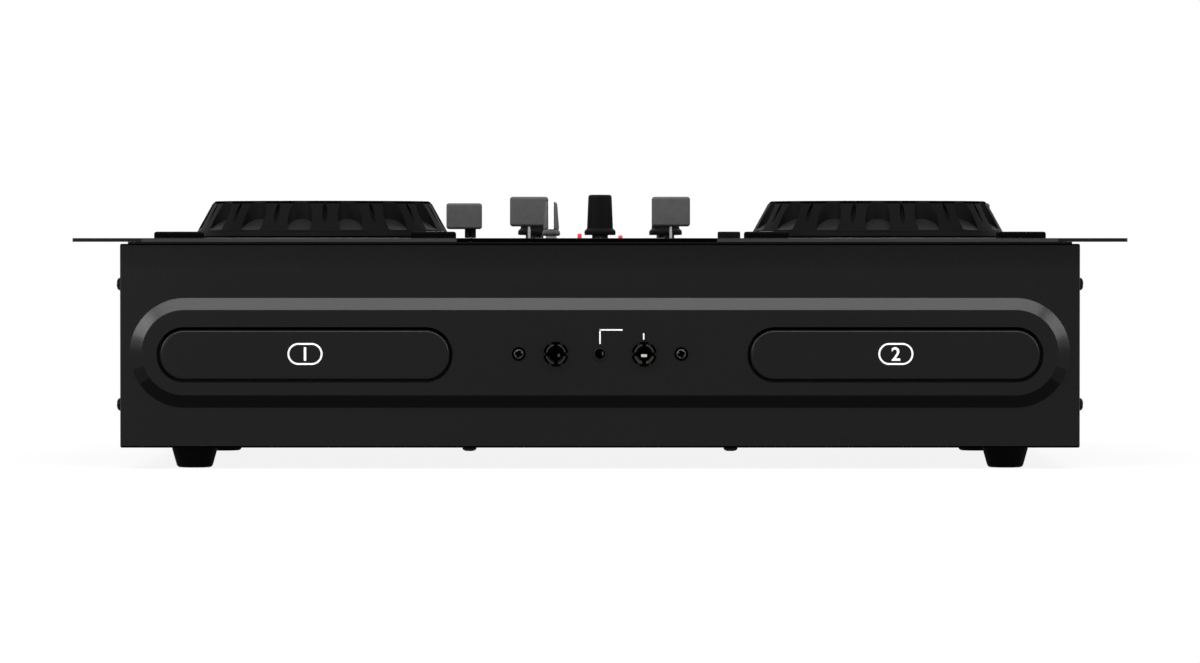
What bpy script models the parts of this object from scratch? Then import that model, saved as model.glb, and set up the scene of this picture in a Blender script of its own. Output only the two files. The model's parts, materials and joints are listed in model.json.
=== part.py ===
"""A twin disc player with a mixer between its decks, in a case of rack width that stands on a table.

Lengths are in metres and +Z is up. The origin is on the table, under the middle of the top plate.
The two disc trays open towards -Y. Places along the depth are counted from the plate's front edge.
"""

import math

import bmesh
import bpy
from mathutils import Matrix, Vector

LEFT, RIGHT = -1, 1
SIDES = ((LEFT, "left"), (RIGHT, "right"))

# Top plate, of the standard 19 inch width and six rack units from front to back
PLATE_WIDTH = 0.4826
PLATE_DEPTH = 0.2659
PLATE_THICKNESS = 0.0015
PLATE_CORNER = 0.002
RACK_SIDE_INSET = 0.00875
RACK_END_INSET = 0.0377
RACK_SLOT_LENGTH = 0.0103
RACK_SLOT_WIDTH = 0.0068
SLOT_END_SHARE = 0.98

# Sheet steel case under the plate, which stands out past it on both sides by its ears
EAR_WIDTH = 0.0213
CASE_HEIGHT = 0.0932
CASE_EDGE = 0.0015
SHEET = 0.0012
FRONT_OVERHANG = 0.006
REAR_OVERHANG = 0.0095
PLATE_GAP = 0.0008
LIP_INSET = 0.0034
LIP_WIDTH = 0.003

# Raised band across the front, pressed out of the sheet
BAND_MARGIN = 0.00425
BAND_HEIGHT = 0.0509
BAND_RISE = 0.0035
BAND_SLOPE = 0.0062
BAND_CENTRE = 0.0434
BAND_SLOPE_SHARES = ((0.0, 0.0), (0.07, 0.04), (0.93, 0.96), (1.0, 1.0))

# Feet
FOOT_HEIGHT = 0.010
FOOT_TOP_RADIUS = 0.0105
FOOT_BOTTOM_RADIUS = 0.0078
FOOT_EDGE = 0.0008
FOOT_SCREW_RADIUS = 0.0035
FOOT_SCREW_DEPTH = 0.005
FOOT_SIDE_INSET = 0.0325
FOOT_FRONT_INSET = 0.024
FOOT_REAR_INSET = 0.0244

# Clearances and cuts
SEAT_GAP = 0.0003
RUN_GAP = 0.0006
OVERRUN = 0.002
JOIN = 0.001
WELD = 0.00001

# Disc drives behind the tray doors
DRIVE_INSET = 0.0848
DOOR_CENTRE = 0.0425
DOOR_LENGTH = 0.1334
DOOR_HEIGHT = 0.0232
DOOR_THICKNESS = 0.003
DOOR_EDGE = 0.0018
DOOR_EDGE_STEPS = 3
DOOR_GAP = 0.0011
DOOR_PROUD = 0.0002

TRAY_WIDTH = 0.129
TRAY_LENGTH = 0.154
TRAY_HEIGHT = 0.009
TRAY_CORNER = 0.006
TRAY_RIM = 0.004
DISC_POCKET_RADIUS = 0.061
DISC_POCKET_DEPTH = 0.003
SMALL_POCKET_RADIUS = 0.041
SMALL_POCKET_DEPTH = 0.0045
TRAY_SLOT_WIDTH = 0.036

FRAME_START = 0.009
FRAME_LENGTH = 0.172
FRAME_WALL = 0.0035
FRAME_FLOOR = 0.003
FRAME_FLOOR_DROP = 0.0103
FRAME_LEG = 0.008
RAIL_WIDTH = 0.005
RAIL_THICKNESS = 0.0025
KEEPER_WIDTH = 0.003
KEEPER_THICKNESS = 0.002
BRIDGE_RISE = 0.0042
BRIDGE_THICKNESS = 0.002
BRIDGE_LENGTH = 0.038

TRAVERSE_WIDTH = 0.070
TRAVERSE_THICKNESS = 0.003
TRAVERSE_RISE = 0.002
TRAVERSE_FRONT = 0.024
TRAVERSE_HINGE = 0.078
TRAVERSE_TAIL = 0.004
TRAVERSE_GAP = 0.0015
HINGE_PIN_RADIUS = 0.002
HINGE_PIN_LENGTH = 0.006
EAR_THICKNESS = 0.006
MOTOR_RADIUS = 0.013
MOTOR_BELOW = 0.006
MOTOR_ABOVE = 0.0037
ROD_RADIUS = 0.0015
ROD_SPACING = 0.038
ROD_RISE = 0.0035
ROD_POST = 0.004
ROD_FRONT = 0.011
ROD_END = 0.003
OPTICS_WINDOW_WIDTH = 0.026

TURNTABLE_RADIUS = 0.014
TURNTABLE_THICKNESS = 0.002
DISC_LIFT = 0.001
HUB_RADIUS = 0.004
CONE_BASE_RADIUS = 0.0074
CONE_TOP_RADIUS = 0.0055
CONE_BAND = 0.001
CONE_HEIGHT = 0.0026
CLAMP_RADIUS = 0.012
CLAMP_FLANGE_RADIUS = 0.016
CLAMP_FLANGE = 0.0015
CLAMP_HANG = 0.0029

SLED_WIDTH = 0.048
SLED_LENGTH = 0.016
SLED_HEIGHT = 0.0056
LENS_RADIUS = 0.005
LENS_RISE = 0.007
LENS_START = 0.026
LENS_TRAVEL = 0.032

# Jog wheels with finger hollows round the rim
JOG_INSET = 0.0893
JOG_PLACE = 0.076
JOG_RADIUS = 0.0588
JOG_TOP_RADIUS = 0.0509
JOG_HEIGHT = 0.0177
JOG_LIFT = 0.0008
JOG_SKIRT = 0.0027
JOG_EDGE = 0.0007
JOG_RIM = 0.0065
JOG_DISH = 0.001
JOG_DIMPLE_RADIUS = 0.011
JOG_DIMPLE_DEPTH = 0.0035
JOG_DIMPLE_PLACE = 0.031
JOG_HUB_RADIUS = 0.005
JOG_POST_RADIUS = 0.008
JOG_HUB_DROP = 0.009
JOG_TURNS = (4.1, 9.2)
HOLLOWS = 15
HOLLOW_RADIUS = 0.0057
HOLLOW_DEPTH = 0.0010
LEDGE_HEIGHT = 0.0004
LEDGE_LIP = 0.0002
LEDGE_SLOPE_SHARE = 0.6
HOLLOW_POINT_SHARES = (-0.8, 0.0, 0.8)

# Controls of each deck
OUTER_PAD_WIDTH = 0.0218
INNER_PAD_WIDTH = 0.0203
PAD_DEPTH = 0.016
PAD_HEIGHT = 0.0034
PAD_PLACE = 0.023
PAD_EDGE = 0.0012
OUTER_PAD_OFFSET = 0.0634
INNER_PAD_OFFSET = 0.054
PRESS_TRAVEL = 0.0015
FLANGE = 0.0008
FLANGE_THICKNESS = 0.0012

EJECT_WIDTH = 0.012
EJECT_DEPTH = 0.008
EJECT_HEIGHT = 0.0014
EJECT_OFFSET = 0.028
SKIP_WIDTH = 0.026
SKIP_OFFSET = -0.022
SKIP_PIVOT_RADIUS = 0.0016
BUTTON_ROW = 0.150

DISPLAY_WIDTH = 0.084
DISPLAY_DEPTH = 0.034
DISPLAY_HEIGHT = 0.0006
DISPLAY_OFFSET = -0.010
DISPLAY_PLACE = 0.205
DISPLAY_MODULE = 0.006
DISPLAY_BORDER = 0.003

PITCH_OFFSETS = (0.0642, 0.0513)
PITCH_PLACE = 0.180
PITCH_TRAVEL = 0.060
PITCH_CAP_WIDTH = 0.0173
PITCH_CAP_HEIGHT = 0.0127
PITCH_CAP_LIFT = 0.0048
PITCH_STEM_WIDTH = 0.0051
PITCH_STEM_OFFSET = 0.003

# Mixer between the decks
KNOB_SPACING = 0.0634
KNOB_ROW_START = 0.112
KNOB_ROW_PITCH = 0.0307
KNOB_ROWS = 4
CENTRE_ROWS = (0.0, 1.5, 3.0)
KNOB_LIFT = 0.0019
CENTRE_KNOB_HEIGHT = 0.0192
CHANNEL_KNOB_HEIGHT = 0.0163
KNOB_FLANGE_RADIUS = 0.00745
KNOB_FLANGE = 0.0024
KNOB_WAIST_RADIUS = 0.0062
KNOB_WAIST_HEIGHT = 0.0032
KNOB_TOP_RADIUS = 0.0056
KNOB_SHAFT_RADIUS = 0.0038

CHANNEL_SPACING = 0.0668
CHANNEL_PLACE = 0.080
CHANNEL_TRAVEL = 0.045
CHANNEL_REST_SHARE = 0.7333
CAP_WIDTH = 0.018
CAP_DEPTH = 0.011
CAP_HEIGHT = 0.0140
CAP_LIFT = 0.0059
CAP_TAPER_SHARE = 0.9
CAP_GRIP_SHARE = 0.28
CAP_GRIP_DEPTH = 0.0012
LEVER_THICKNESS = 0.0022
LEVER_DEPTH = 0.005
LEVER_SLOT_GAP = 0.0007

CROSS_PLACE = 0.022
CROSS_TRAVEL = 0.045
CROSS_REST = -0.0225
CROSS_CAP_LENGTH = 0.018
CROSS_CAP_BASE = 0.0088
CROSS_CAP_TOP = 0.0054
CROSS_CAP_HEIGHT = 0.0157
CROSS_CAP_LIFT = 0.0014
CROSS_CAP_FOOT = 0.003

SOURCE_GAP = 0.00205
SOURCE_WIDTH = 0.0102
SOURCE_DEPTH = 0.012

# Circuit boards
BOARD = 0.0016
BOARD_DROP = 0.0115
MIXER_WIDTH = 0.100
BOARD_SEAM = 0.0004
BOARD_SIDE_GAP = 0.012
BOARD_START = 0.014
BOARD_REAR_GAP = 0.0152
POT_WIDTH = 0.010
POT_HEIGHT = 0.0085
SLIDER_WIDTH = 0.009
SLIDER_HEIGHT = 0.008
SLIDER_END = 0.007
SWITCH_WIDTH = 0.005
PILLAR_RADIUS = 0.003
FRONT_PILLARS = 0.024
LOWER_BOARD_LIFT = 0.006
BAY_GAP = 0.0116
MAIN_BOARD_START = 0.046
MAIN_BOARD_GAP = 0.014
CHIP_WIDTH = 0.024
CHIP_HEIGHT = 0.0025
CHIP_PLACE_SHARES = ((LEFT, 0.3), (RIGHT, 0.3), (LEFT, 0.7))
HEAT_SINK_HEIGHT = 0.022
HEAT_SINK_WIDTH = 0.040
HEAT_SINK_DEPTH = 0.012
SUPPLY_LENGTH = 0.080
CORE_WIDTH = 0.052
CORE_LENGTH = 0.044
CORE_HEIGHT = 0.042
COIL_WIDTH = 0.030
COIL_LENGTH = 0.058
COIL_HEIGHT = 0.030
RESERVOIR_RADIUS = 0.009
RESERVOIR_HEIGHT = 0.030
RESERVOIR_PITCH = 0.027
RESERVOIR_PLACE_SHARE = -0.25

# Sockets
JACK_HEIGHT = 0.0428
JACK_SPACING = 0.0404
JACK_BORE_RADIUS = 0.0033
JACK_BUSH_RADIUS = 0.0045
JACK_NUT_RADIUS = 0.0055
JACK_NUT_THICKNESS = 0.0018
JACK_BODY_WIDTH = 0.015
JACK_BODY_LENGTH = 0.030
JACK_END_WALL = 0.003
MINI_BORE_RADIUS = 0.0018
MINI_BUSH_RADIUS = 0.003
MINI_BODY_WIDTH = 0.009
MINI_BODY_LENGTH = 0.014
MINI_PROUD = 0.0004

RCA_INSET = 0.100
RCA_HEIGHT = 0.046
RCA_COLUMNS = 4
RCA_PITCH = 0.020
RCA_ROW_PITCH = 0.0165
RCA_BARREL_RADIUS = 0.0042
RCA_COLLAR_RADIUS = 0.0056
RCA_COLLAR_LENGTH = 0.0015
RCA_BARREL_LENGTH = 0.0085
RCA_BORE_RADIUS = 0.0017
RCA_SIDE_MARGIN = 0.006
RCA_END_MARGIN = 0.003
RCA_BACK_BORDER = 0.003
RCA_BLOCK_DEPTH = 0.012

INLET_INSET = 0.042
INLET_HEIGHT = 0.038
INLET_WIDTH = 0.028
INLET_LENGTH = 0.052
INLET_FLANGE = 0.0025
INLET_PROUD = 0.0016
INLET_BODY_DEPTH = 0.021
SOCKET_WIDTH = 0.0244
SOCKET_HEIGHT = 0.0165
SOCKET_DEPTH = 0.017
SOCKET_CORNER = 0.004
PIN_WIDTH = 0.002
PIN_HEIGHT = 0.004
PIN_LENGTH = 0.013
PIN_SPACING = 0.007
PIN_STEP = 0.002
ROCKER_WIDTH = 0.0125
ROCKER_LENGTH = 0.0195
ROCKER_HEIGHT = 0.006
ROCKER_TILT = 8.0
ROCKER_OUTLINE_SHARES = ((-0.45, -0.1), (0.45, -0.1), (0.45, 0.45), (0.0, 0.36), (-0.45, 0.45))

# Smoothness of round forms, in sides
FINE = 24
ROUND = 16
COARSE = 12
BORE = 10
PIN_SIDES = 8
BAND_SIDES = 18
DOOR_SIDES = 10

# Levels and places that follow from the sizes above
RACK_HOLE_WIDTH = PLATE_WIDTH - 2 * RACK_SIDE_INSET
RACK_HOLE_DEPTH = PLATE_DEPTH - 2 * RACK_END_INSET
CASE_WIDTH = PLATE_WIDTH - 2 * EAR_WIDTH
BAND_LENGTH = CASE_WIDTH - 2 * BAND_MARGIN
FOOT_SPACING = CASE_WIDTH - 2 * FOOT_SIDE_INSET
DRIVE_SPACING = CASE_WIDTH - 2 * DRIVE_INSET
JOG_SPACING = CASE_WIDTH - 2 * JOG_INSET
FRONT = -PLATE_DEPTH / 2
CASE_FRONT = FRONT + FRONT_OVERHANG
CASE_REAR = FRONT + PLATE_DEPTH - REAR_OVERHANG
CASE_LENGTH = CASE_REAR - CASE_FRONT
CASE_MIDDLE = (CASE_FRONT + CASE_REAR) / 2
CASE_FLOOR = FOOT_HEIGHT + SHEET
CASE_TOP = FOOT_HEIGHT + CASE_HEIGHT
PLATE_BOTTOM = CASE_TOP + PLATE_GAP
PLATE_TOP = PLATE_BOTTOM + PLATE_THICKNESS
BAND_FACE = CASE_FRONT - BAND_RISE
BAND_Z = FOOT_HEIGHT + BAND_CENTRE
DOOR_Z = FOOT_HEIGHT + DOOR_CENTRE
DOOR_FACE = BAND_FACE - DOOR_PROUD
FOOT_ENDS = (("front", CASE_FRONT + FOOT_FRONT_INSET), ("rear", CASE_REAR - FOOT_REAR_INSET))
RCA_X = RCA_INSET - CASE_WIDTH / 2
INLET_X = CASE_WIDTH / 2 - INLET_INSET
OPENING_HEIGHT = DOOR_HEIGHT + 2 * DOOR_GAP
OPENING_LENGTH = DOOR_LENGTH + 2 * DOOR_GAP
TRAY_FRONT = DOOR_FACE + DOOR_THICKNESS + SEAT_GAP
TRAY_BOTTOM = DOOR_Z - TRAY_HEIGHT / 2
TRAY_TOP = DOOR_Z + TRAY_HEIGHT / 2
SPINDLE_Y = TRAY_FRONT + TRAY_RIM + DISC_POCKET_RADIUS
FRAME_INNER = TRAY_WIDTH / 2 + RUN_GAP
FRAME_OUTER = FRAME_INNER + FRAME_WALL
FRAME_FRONT = FRONT + FRAME_START
FRAME_REAR = FRAME_FRONT + FRAME_LENGTH
FRAME_FLOOR_TOP = TRAY_BOTTOM - FRAME_FLOOR_DROP
BAY_WIDTH = DRIVE_SPACING - 2 * FRAME_OUTER - 2 * BAY_GAP
BRIDGE_BOTTOM = TRAY_TOP + BRIDGE_RISE
BRIDGE_TOP = BRIDGE_BOTTOM + BRIDGE_THICKNESS
TRAVERSE_TOP = FRAME_FLOOR_TOP + TRAVERSE_RISE
TRAVERSE_BOTTOM = TRAVERSE_TOP - TRAVERSE_THICKNESS
HINGE_Y = SPINDLE_Y + TRAVERSE_HINGE
HINGE_Z = (TRAVERSE_TOP + TRAVERSE_BOTTOM) / 2
DISC_SEAT = TRAY_TOP - DISC_POCKET_DEPTH + DISC_LIFT
ROD_Z = TRAVERSE_TOP + ROD_RISE
ROD_REAR = LENS_START + LENS_TRAVEL + SLED_LENGTH / 2 + ROD_END
BOARD_TOP = PLATE_BOTTOM - BOARD_DROP
BOARD_SPLIT = MIXER_WIDTH / 2 + BOARD_SEAM
BOARD_FRONT = FRONT + BOARD_START
BOARD_REAR = CASE_REAR - SHEET - BOARD_REAR_GAP
SUPPLY_FRONT = BOARD_REAR - SUPPLY_LENGTH
MAIN_BOARD_FRONT = FRONT + MAIN_BOARD_START
MAIN_BOARD_LENGTH = SUPPLY_FRONT - MAIN_BOARD_GAP - MAIN_BOARD_FRONT
JOG_Y = FRONT + JOG_PLACE
JOG_BOTTOM = PLATE_TOP + JOG_LIFT
JOG_TOP = PLATE_TOP + JOG_HEIGHT
PAD_Y = FRONT + PAD_PLACE
BUTTON_Y = FRONT + BUTTON_ROW
SKIP_AXIS = PLATE_BOTTOM - SKIP_PIVOT_RADIUS / 2
DISPLAY_Y = FRONT + DISPLAY_PLACE
FLANGE_BOTTOM = PLATE_BOTTOM - SEAT_GAP - FLANGE_THICKNESS
CHANNEL_Y = FRONT + CHANNEL_PLACE
CROSS_Y = FRONT + CROSS_PLACE
INLET_Z = FOOT_HEIGHT + INLET_HEIGHT
SOCKET_X = INLET_X - (INLET_LENGTH - SOCKET_WIDTH) / 2 + INLET_PROUD
ROCKER_X = INLET_X + (INLET_LENGTH - ROCKER_WIDTH) / 2 - INLET_FLANGE - INLET_PROUD

PARTS = "twin_disc_player"
CUTTERS = "cutters"


def clear_scene():
    for obj in list(bpy.data.objects):
        bpy.data.objects.remove(obj, do_unlink=True)
    for collection in list(bpy.data.collections):
        bpy.data.collections.remove(collection)


def collection(name):
    if name not in bpy.data.collections:
        bpy.context.scene.collection.children.link(bpy.data.collections.new(name))
    return bpy.data.collections[name]


def surface(name, colour, roughness, metallic=0.0):
    """A Principled material, made once and shared by name."""
    found = bpy.data.materials.get(name)
    if found:
        return found
    made = bpy.data.materials.new(name)
    made.use_nodes = True
    shader = made.node_tree.nodes["Principled BSDF"]
    shader.inputs["Base Color"].default_value = (*colour, 1.0)
    shader.inputs["Roughness"].default_value = roughness
    shader.inputs["Metallic"].default_value = metallic
    return made


def black_paint():
    return surface("black_paint", (0.014, 0.014, 0.015), 0.42)


def black_plastic():
    return surface("black_plastic", (0.012, 0.012, 0.012), 0.38)


def grey_plastic():
    return surface("grey_plastic", (0.10, 0.10, 0.10), 0.45)


def white_plastic():
    return surface("white_plastic", (0.62, 0.62, 0.60), 0.5)


def dark_window():
    return surface("dark_window", (0.01, 0.012, 0.014), 0.12)


def rubber():
    return surface("rubber", (0.01, 0.01, 0.01), 0.8)


def steel():
    return surface("steel", (0.55, 0.55, 0.56), 0.3, 1.0)


def board_green():
    return surface("board_green", (0.02, 0.12, 0.05), 0.5)


# Makers: each returns a function that adds one closed shape to a bmesh

def box(size, centre):
    def make(bm):
        place = Matrix.Translation(centre) @ Matrix.Diagonal((*size, 1))
        bmesh.ops.create_cube(bm, size=1, matrix=place)

    return make


def block(low, high):
    """A box between two corners."""
    low, high = Vector(low), Vector(high)
    return box(high - low, (low + high) / 2)


def rounded(size, centre, radius, kept=None, axis=None, segments=2):
    """A box with rounded edges: all of them, those along one axis, or all but those kept."""

    def make(bm):
        place = Matrix.Translation(centre) @ Matrix.Diagonal((*size, 1))
        verts = bmesh.ops.create_cube(bm, size=1, matrix=place)["verts"]
        edges = {edge for vert in verts for edge in vert.link_edges}
        if axis is not None:
            edges = {edge for edge in edges if abs(edge_direction(edge)[axis]) > 0.9}
        if kept is not None:
            edges = {edge for edge in edges if not kept(edge)}
        bmesh.ops.bevel(
            bm, geom=list(edges), offset=radius, segments=segments, profile=0.5, affect="EDGES"
        )

    return make


def edge_direction(edge):
    return (edge.verts[1].co - edge.verts[0].co).normalized()


def axis_turn(axis):
    """The turn that takes +Z to the named axis."""
    return {
        "X": Matrix.Rotation(math.radians(90), 4, "Y"),
        "Y": Matrix.Rotation(math.radians(-90), 4, "X"),
        "Z": Matrix.Identity(4),
    }[axis]


def rod(radius, start, length, axis="Z", sides=ROUND, end_radius=None):
    """A cylinder, or a cone, from the start point along the named axis."""

    def make(bm):
        turn = Matrix.Translation(start) @ axis_turn(axis)
        bmesh.ops.create_cone(
            bm,
            cap_ends=True,
            segments=sides,
            radius1=radius,
            radius2=radius if end_radius is None else end_radius,
            depth=length,
            matrix=turn @ Matrix.Translation((0, 0, length / 2)),
        )

    return make


def ball(radius, centre, sides=ROUND):
    def make(bm):
        bmesh.ops.create_uvsphere(
            bm,
            u_segments=sides,
            v_segments=sides // 2,
            radius=radius,
            matrix=Matrix.Translation(centre),
        )

    return make


def loft(rings):
    """A closed skin over sections that have the same number of points, with a flat cap at each end."""

    def make(bm):
        rows = [[bm.verts.new(point) for point in ring] for ring in rings]
        for lower, upper in zip(rows, rows[1:]):
            for i, vert in enumerate(lower):
                after = (i + 1) % len(lower)
                bm.faces.new((vert, lower[after], upper[after], upper[i]))
        bm.faces.new(reversed(rows[0]))
        bm.faces.new(rows[-1])

    return make


def pill_ring(half_length, radius, centre, sides):
    """Points of an upright outline with round ends, in the XZ plane."""
    x, y, z = centre
    points = []
    for end in (RIGHT, LEFT):
        for step in range(sides + 1):
            angle = math.radians(-90 if end == RIGHT else 90) + math.pi * step / sides
            across = end * half_length + radius * math.cos(angle)
            points.append((x + across, y, z + radius * math.sin(angle)))
    return points


def pill(length, height, centre_x, centre_z, start, end, sides):
    """A bar with round ends, running from the start to the end along Y."""
    half = (length - height) / 2
    rings = [
        pill_ring(half, height / 2, (centre_x, y, centre_z), sides) for y in (end, start)
    ]
    return loft(rings)


# Objects

def mesh_of(name, makers, pivot):
    bm = bmesh.new()
    for make in makers:
        make(bm)
    bmesh.ops.translate(bm, verts=bm.verts, vec=-Vector(pivot))
    bmesh.ops.recalc_face_normals(bm, faces=bm.faces)
    mesh = bpy.data.meshes.new(name)
    bm.to_mesh(mesh)
    bm.free()
    return mesh


def place(obj, pivot, parent):
    """Puts an object's origin at the pivot, under its parent."""
    obj.parent = parent
    at = Vector(pivot)
    while parent:
        at -= parent.location
        parent = parent.parent
    obj.location = at


def shade(obj, angle=35):
    obj.data.shade_smooth()
    obj.data.set_sharp_from_angle(angle=math.radians(angle))


def helper(name, makers):
    obj = bpy.data.objects.new(name, mesh_of(name, makers, (0, 0, 0)))
    obj.hide_render = True
    obj.display_type = "WIRE"
    collection(CUTTERS).objects.link(obj)
    return obj


def combine(obj, operation, makers, label):
    """A Boolean with one helper that holds all the given shapes."""
    if not makers:
        return
    modifier = obj.modifiers.new(label, "BOOLEAN")
    modifier.operation = operation
    modifier.solver = "EXACT"
    modifier.use_self = len(makers) > 1
    modifier.object = helper(f"{obj.name}_{label}", makers)


def node(name, look, solids, cuts=(), studs=(), pivot=(0, 0, 0), parent=None):
    """One sub-part: its solids joined, its cuts taken out, then its studs joined."""
    obj = bpy.data.objects.new(name, mesh_of(name, solids[:1], pivot))
    obj.data.materials.append(look)
    collection(PARTS).objects.link(obj)
    place(obj, pivot, parent)
    combine(obj, "UNION", solids[1:], "solids")
    combine(obj, "DIFFERENCE", cuts, "cuts")
    combine(obj, "UNION", studs, "studs")
    shade(obj)
    return obj


def turned(name, look, profile, pivot, sides=ROUND, parent=None, axis="Z"):
    """One sub-part turned about its own axis: the profile runs down its outer side."""
    mesh = bpy.data.meshes.new(name)
    points = [(radius, 0, height) for radius, height in profile]
    mesh.from_pydata(points, [(i, i + 1) for i in range(len(points) - 1)], [])
    obj = bpy.data.objects.new(name, mesh)
    obj.data.materials.append(look)
    collection(PARTS).objects.link(obj)
    place(obj, pivot, parent)
    obj.rotation_euler = axis_turn(axis).to_euler()
    screw = obj.modifiers.new("turn", "SCREW")
    screw.steps = sides
    screw.render_steps = sides
    screw.use_merge_vertices = True
    screw.merge_threshold = WELD
    screw.use_smooth_shade = True
    return obj


def plate_from_outlines(name, look, outlines, thickness, bottom):
    """A flat plate: the first outline is its edge and the others are its holes."""
    curve = bpy.data.curves.new(name, "CURVE")
    curve.dimensions = "2D"
    curve.fill_mode = "BOTH"
    curve.extrude = thickness / 2
    for outline in outlines:
        spline = curve.splines.new("POLY")
        spline.points.add(len(outline) - 1)
        spline.use_cyclic_u = True
        for point, (x, y) in zip(spline.points, outline):
            point.co = (x, y, 0, 1)
    drawn = bpy.data.objects.new(f"{name}_outline", curve)
    collection(PARTS).objects.link(drawn)
    evaluated = drawn.evaluated_get(bpy.context.evaluated_depsgraph_get())
    mesh = bpy.data.meshes.new_from_object(evaluated)
    bpy.data.objects.remove(drawn)
    bm = bmesh.new()
    bm.from_mesh(mesh)
    bmesh.ops.remove_doubles(bm, verts=bm.verts, dist=WELD)
    bm.to_mesh(mesh)
    bm.free()
    mesh.name = name
    mesh.materials.clear()
    mesh.materials.append(look)
    obj = bpy.data.objects.new(name, mesh)
    collection(PARTS).objects.link(obj)
    obj.location = (0, 0, bottom + thickness / 2)
    return obj


def circle(x, y, radius, sides=ROUND):
    turn = 2 * math.pi / sides
    return [(x + radius * math.cos(i * turn), y + radius * math.sin(i * turn)) for i in range(sides)]


def rectangle(x, y, width, depth, corner=0, steps=2):
    """The outline of a rectangle, with its corners rounded if a radius is given."""
    if not corner:
        return [(x + i * width / 2, y + j * depth / 2) for i, j in ((-1, -1), (1, -1), (1, 1), (-1, 1))]
    points = []
    for quarter, (i, j) in enumerate(((1, 1), (-1, 1), (-1, -1), (1, -1))):
        for step in range(steps + 1):
            angle = math.pi / 2 * (quarter + step / steps)
            across = i * (width / 2 - corner) + corner * math.cos(angle)
            along = j * (depth / 2 - corner) + corner * math.sin(angle)
            points.append((x + across, y + along))
    return points


def slot(x, y, width, depth, steps=4):
    """An outline with round ends along its longer side."""
    return rectangle(x, y, width, depth, min(width, depth) / 2 * SLOT_END_SHARE, steps)


def deck_x(side):
    return side * JOG_SPACING / 2


def pitch_x(side):
    return deck_x(side) + PITCH_OFFSETS[0 if side == LEFT else 1]


def pitch_slot_x(side):
    """The slot and the lever stand under the stem, off the middle of the cap."""
    return pitch_x(side) + PITCH_STEM_OFFSET


def channel_x(side):
    return side * CHANNEL_SPACING / 2


def knob_y(row):
    return FRONT + KNOB_ROW_START + row * KNOB_ROW_PITCH


def knob_places():
    """Every rotary control, as its name, x, y and height."""
    places = []
    for side, label in SIDES:
        for row, job in enumerate(("bass", "middle", "treble", "gain")[:KNOB_ROWS]):
            x = side * KNOB_SPACING / 2
            places.append((f"knob_{job}_{label}", x, knob_y(row), CHANNEL_KNOB_HEIGHT))
    for row, job in zip(CENTRE_ROWS, ("master", "phones", "mic")):
        places.append((f"knob_{job}", 0, knob_y(row), CENTRE_KNOB_HEIGHT))
    return places


def channel_rest():
    """How far the channel faders stand behind the near end of their travel."""
    return CHANNEL_TRAVEL * CHANNEL_REST_SHARE


def channel_slot_y():
    """The middle of a channel fader's travel."""
    return CHANNEL_Y - channel_rest() + CHANNEL_TRAVEL / 2


def button_places():
    """Every key that goes down: its name, x, y, width, depth and height over the plate."""
    places = []
    for side, label in SIDES:
        outer_x = deck_x(side) + side * OUTER_PAD_OFFSET
        inner_x = deck_x(side) - side * INNER_PAD_OFFSET
        outer = (outer_x, PAD_Y, OUTER_PAD_WIDTH, PAD_DEPTH, PAD_HEIGHT)
        inner = (inner_x, PAD_Y, INNER_PAD_WIDTH, PAD_DEPTH, PAD_HEIGHT)
        cue, play = (outer, inner) if side == LEFT else (inner, outer)
        places.append((f"cue_pad_{label}", *cue))
        places.append((f"play_pad_{label}", *play))
        eject = deck_x(side) + EJECT_OFFSET
        places.append((f"eject_button_{label}", eject, BUTTON_Y, EJECT_WIDTH, EJECT_DEPTH, EJECT_HEIGHT))
    source_y = PAD_Y - (PAD_DEPTH - SOURCE_DEPTH) / 2
    source_x = deck_x(RIGHT) - INNER_PAD_OFFSET - (INNER_PAD_WIDTH + SOURCE_WIDTH) / 2 - SOURCE_GAP
    places.append(("source_button", source_x, source_y, SOURCE_WIDTH, SOURCE_DEPTH, PAD_HEIGHT))
    return places


# Case

def band_rings(inset, rise, start):
    """Sections of the raised band, from behind the sheet to its face."""
    half = (BAND_LENGTH - BAND_HEIGHT) / 2
    rings = [pill_ring(half, BAND_HEIGHT / 2 - inset, (0, start, BAND_Z), BAND_SIDES)]
    for inward, outward in BAND_SLOPE_SHARES:
        radius = BAND_HEIGHT / 2 - inset - BAND_SLOPE * inward
        y = CASE_FRONT + rise - BAND_RISE * outward
        rings.append(pill_ring(half, radius, (0, y, BAND_Z), BAND_SIDES))
    return rings


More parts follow.
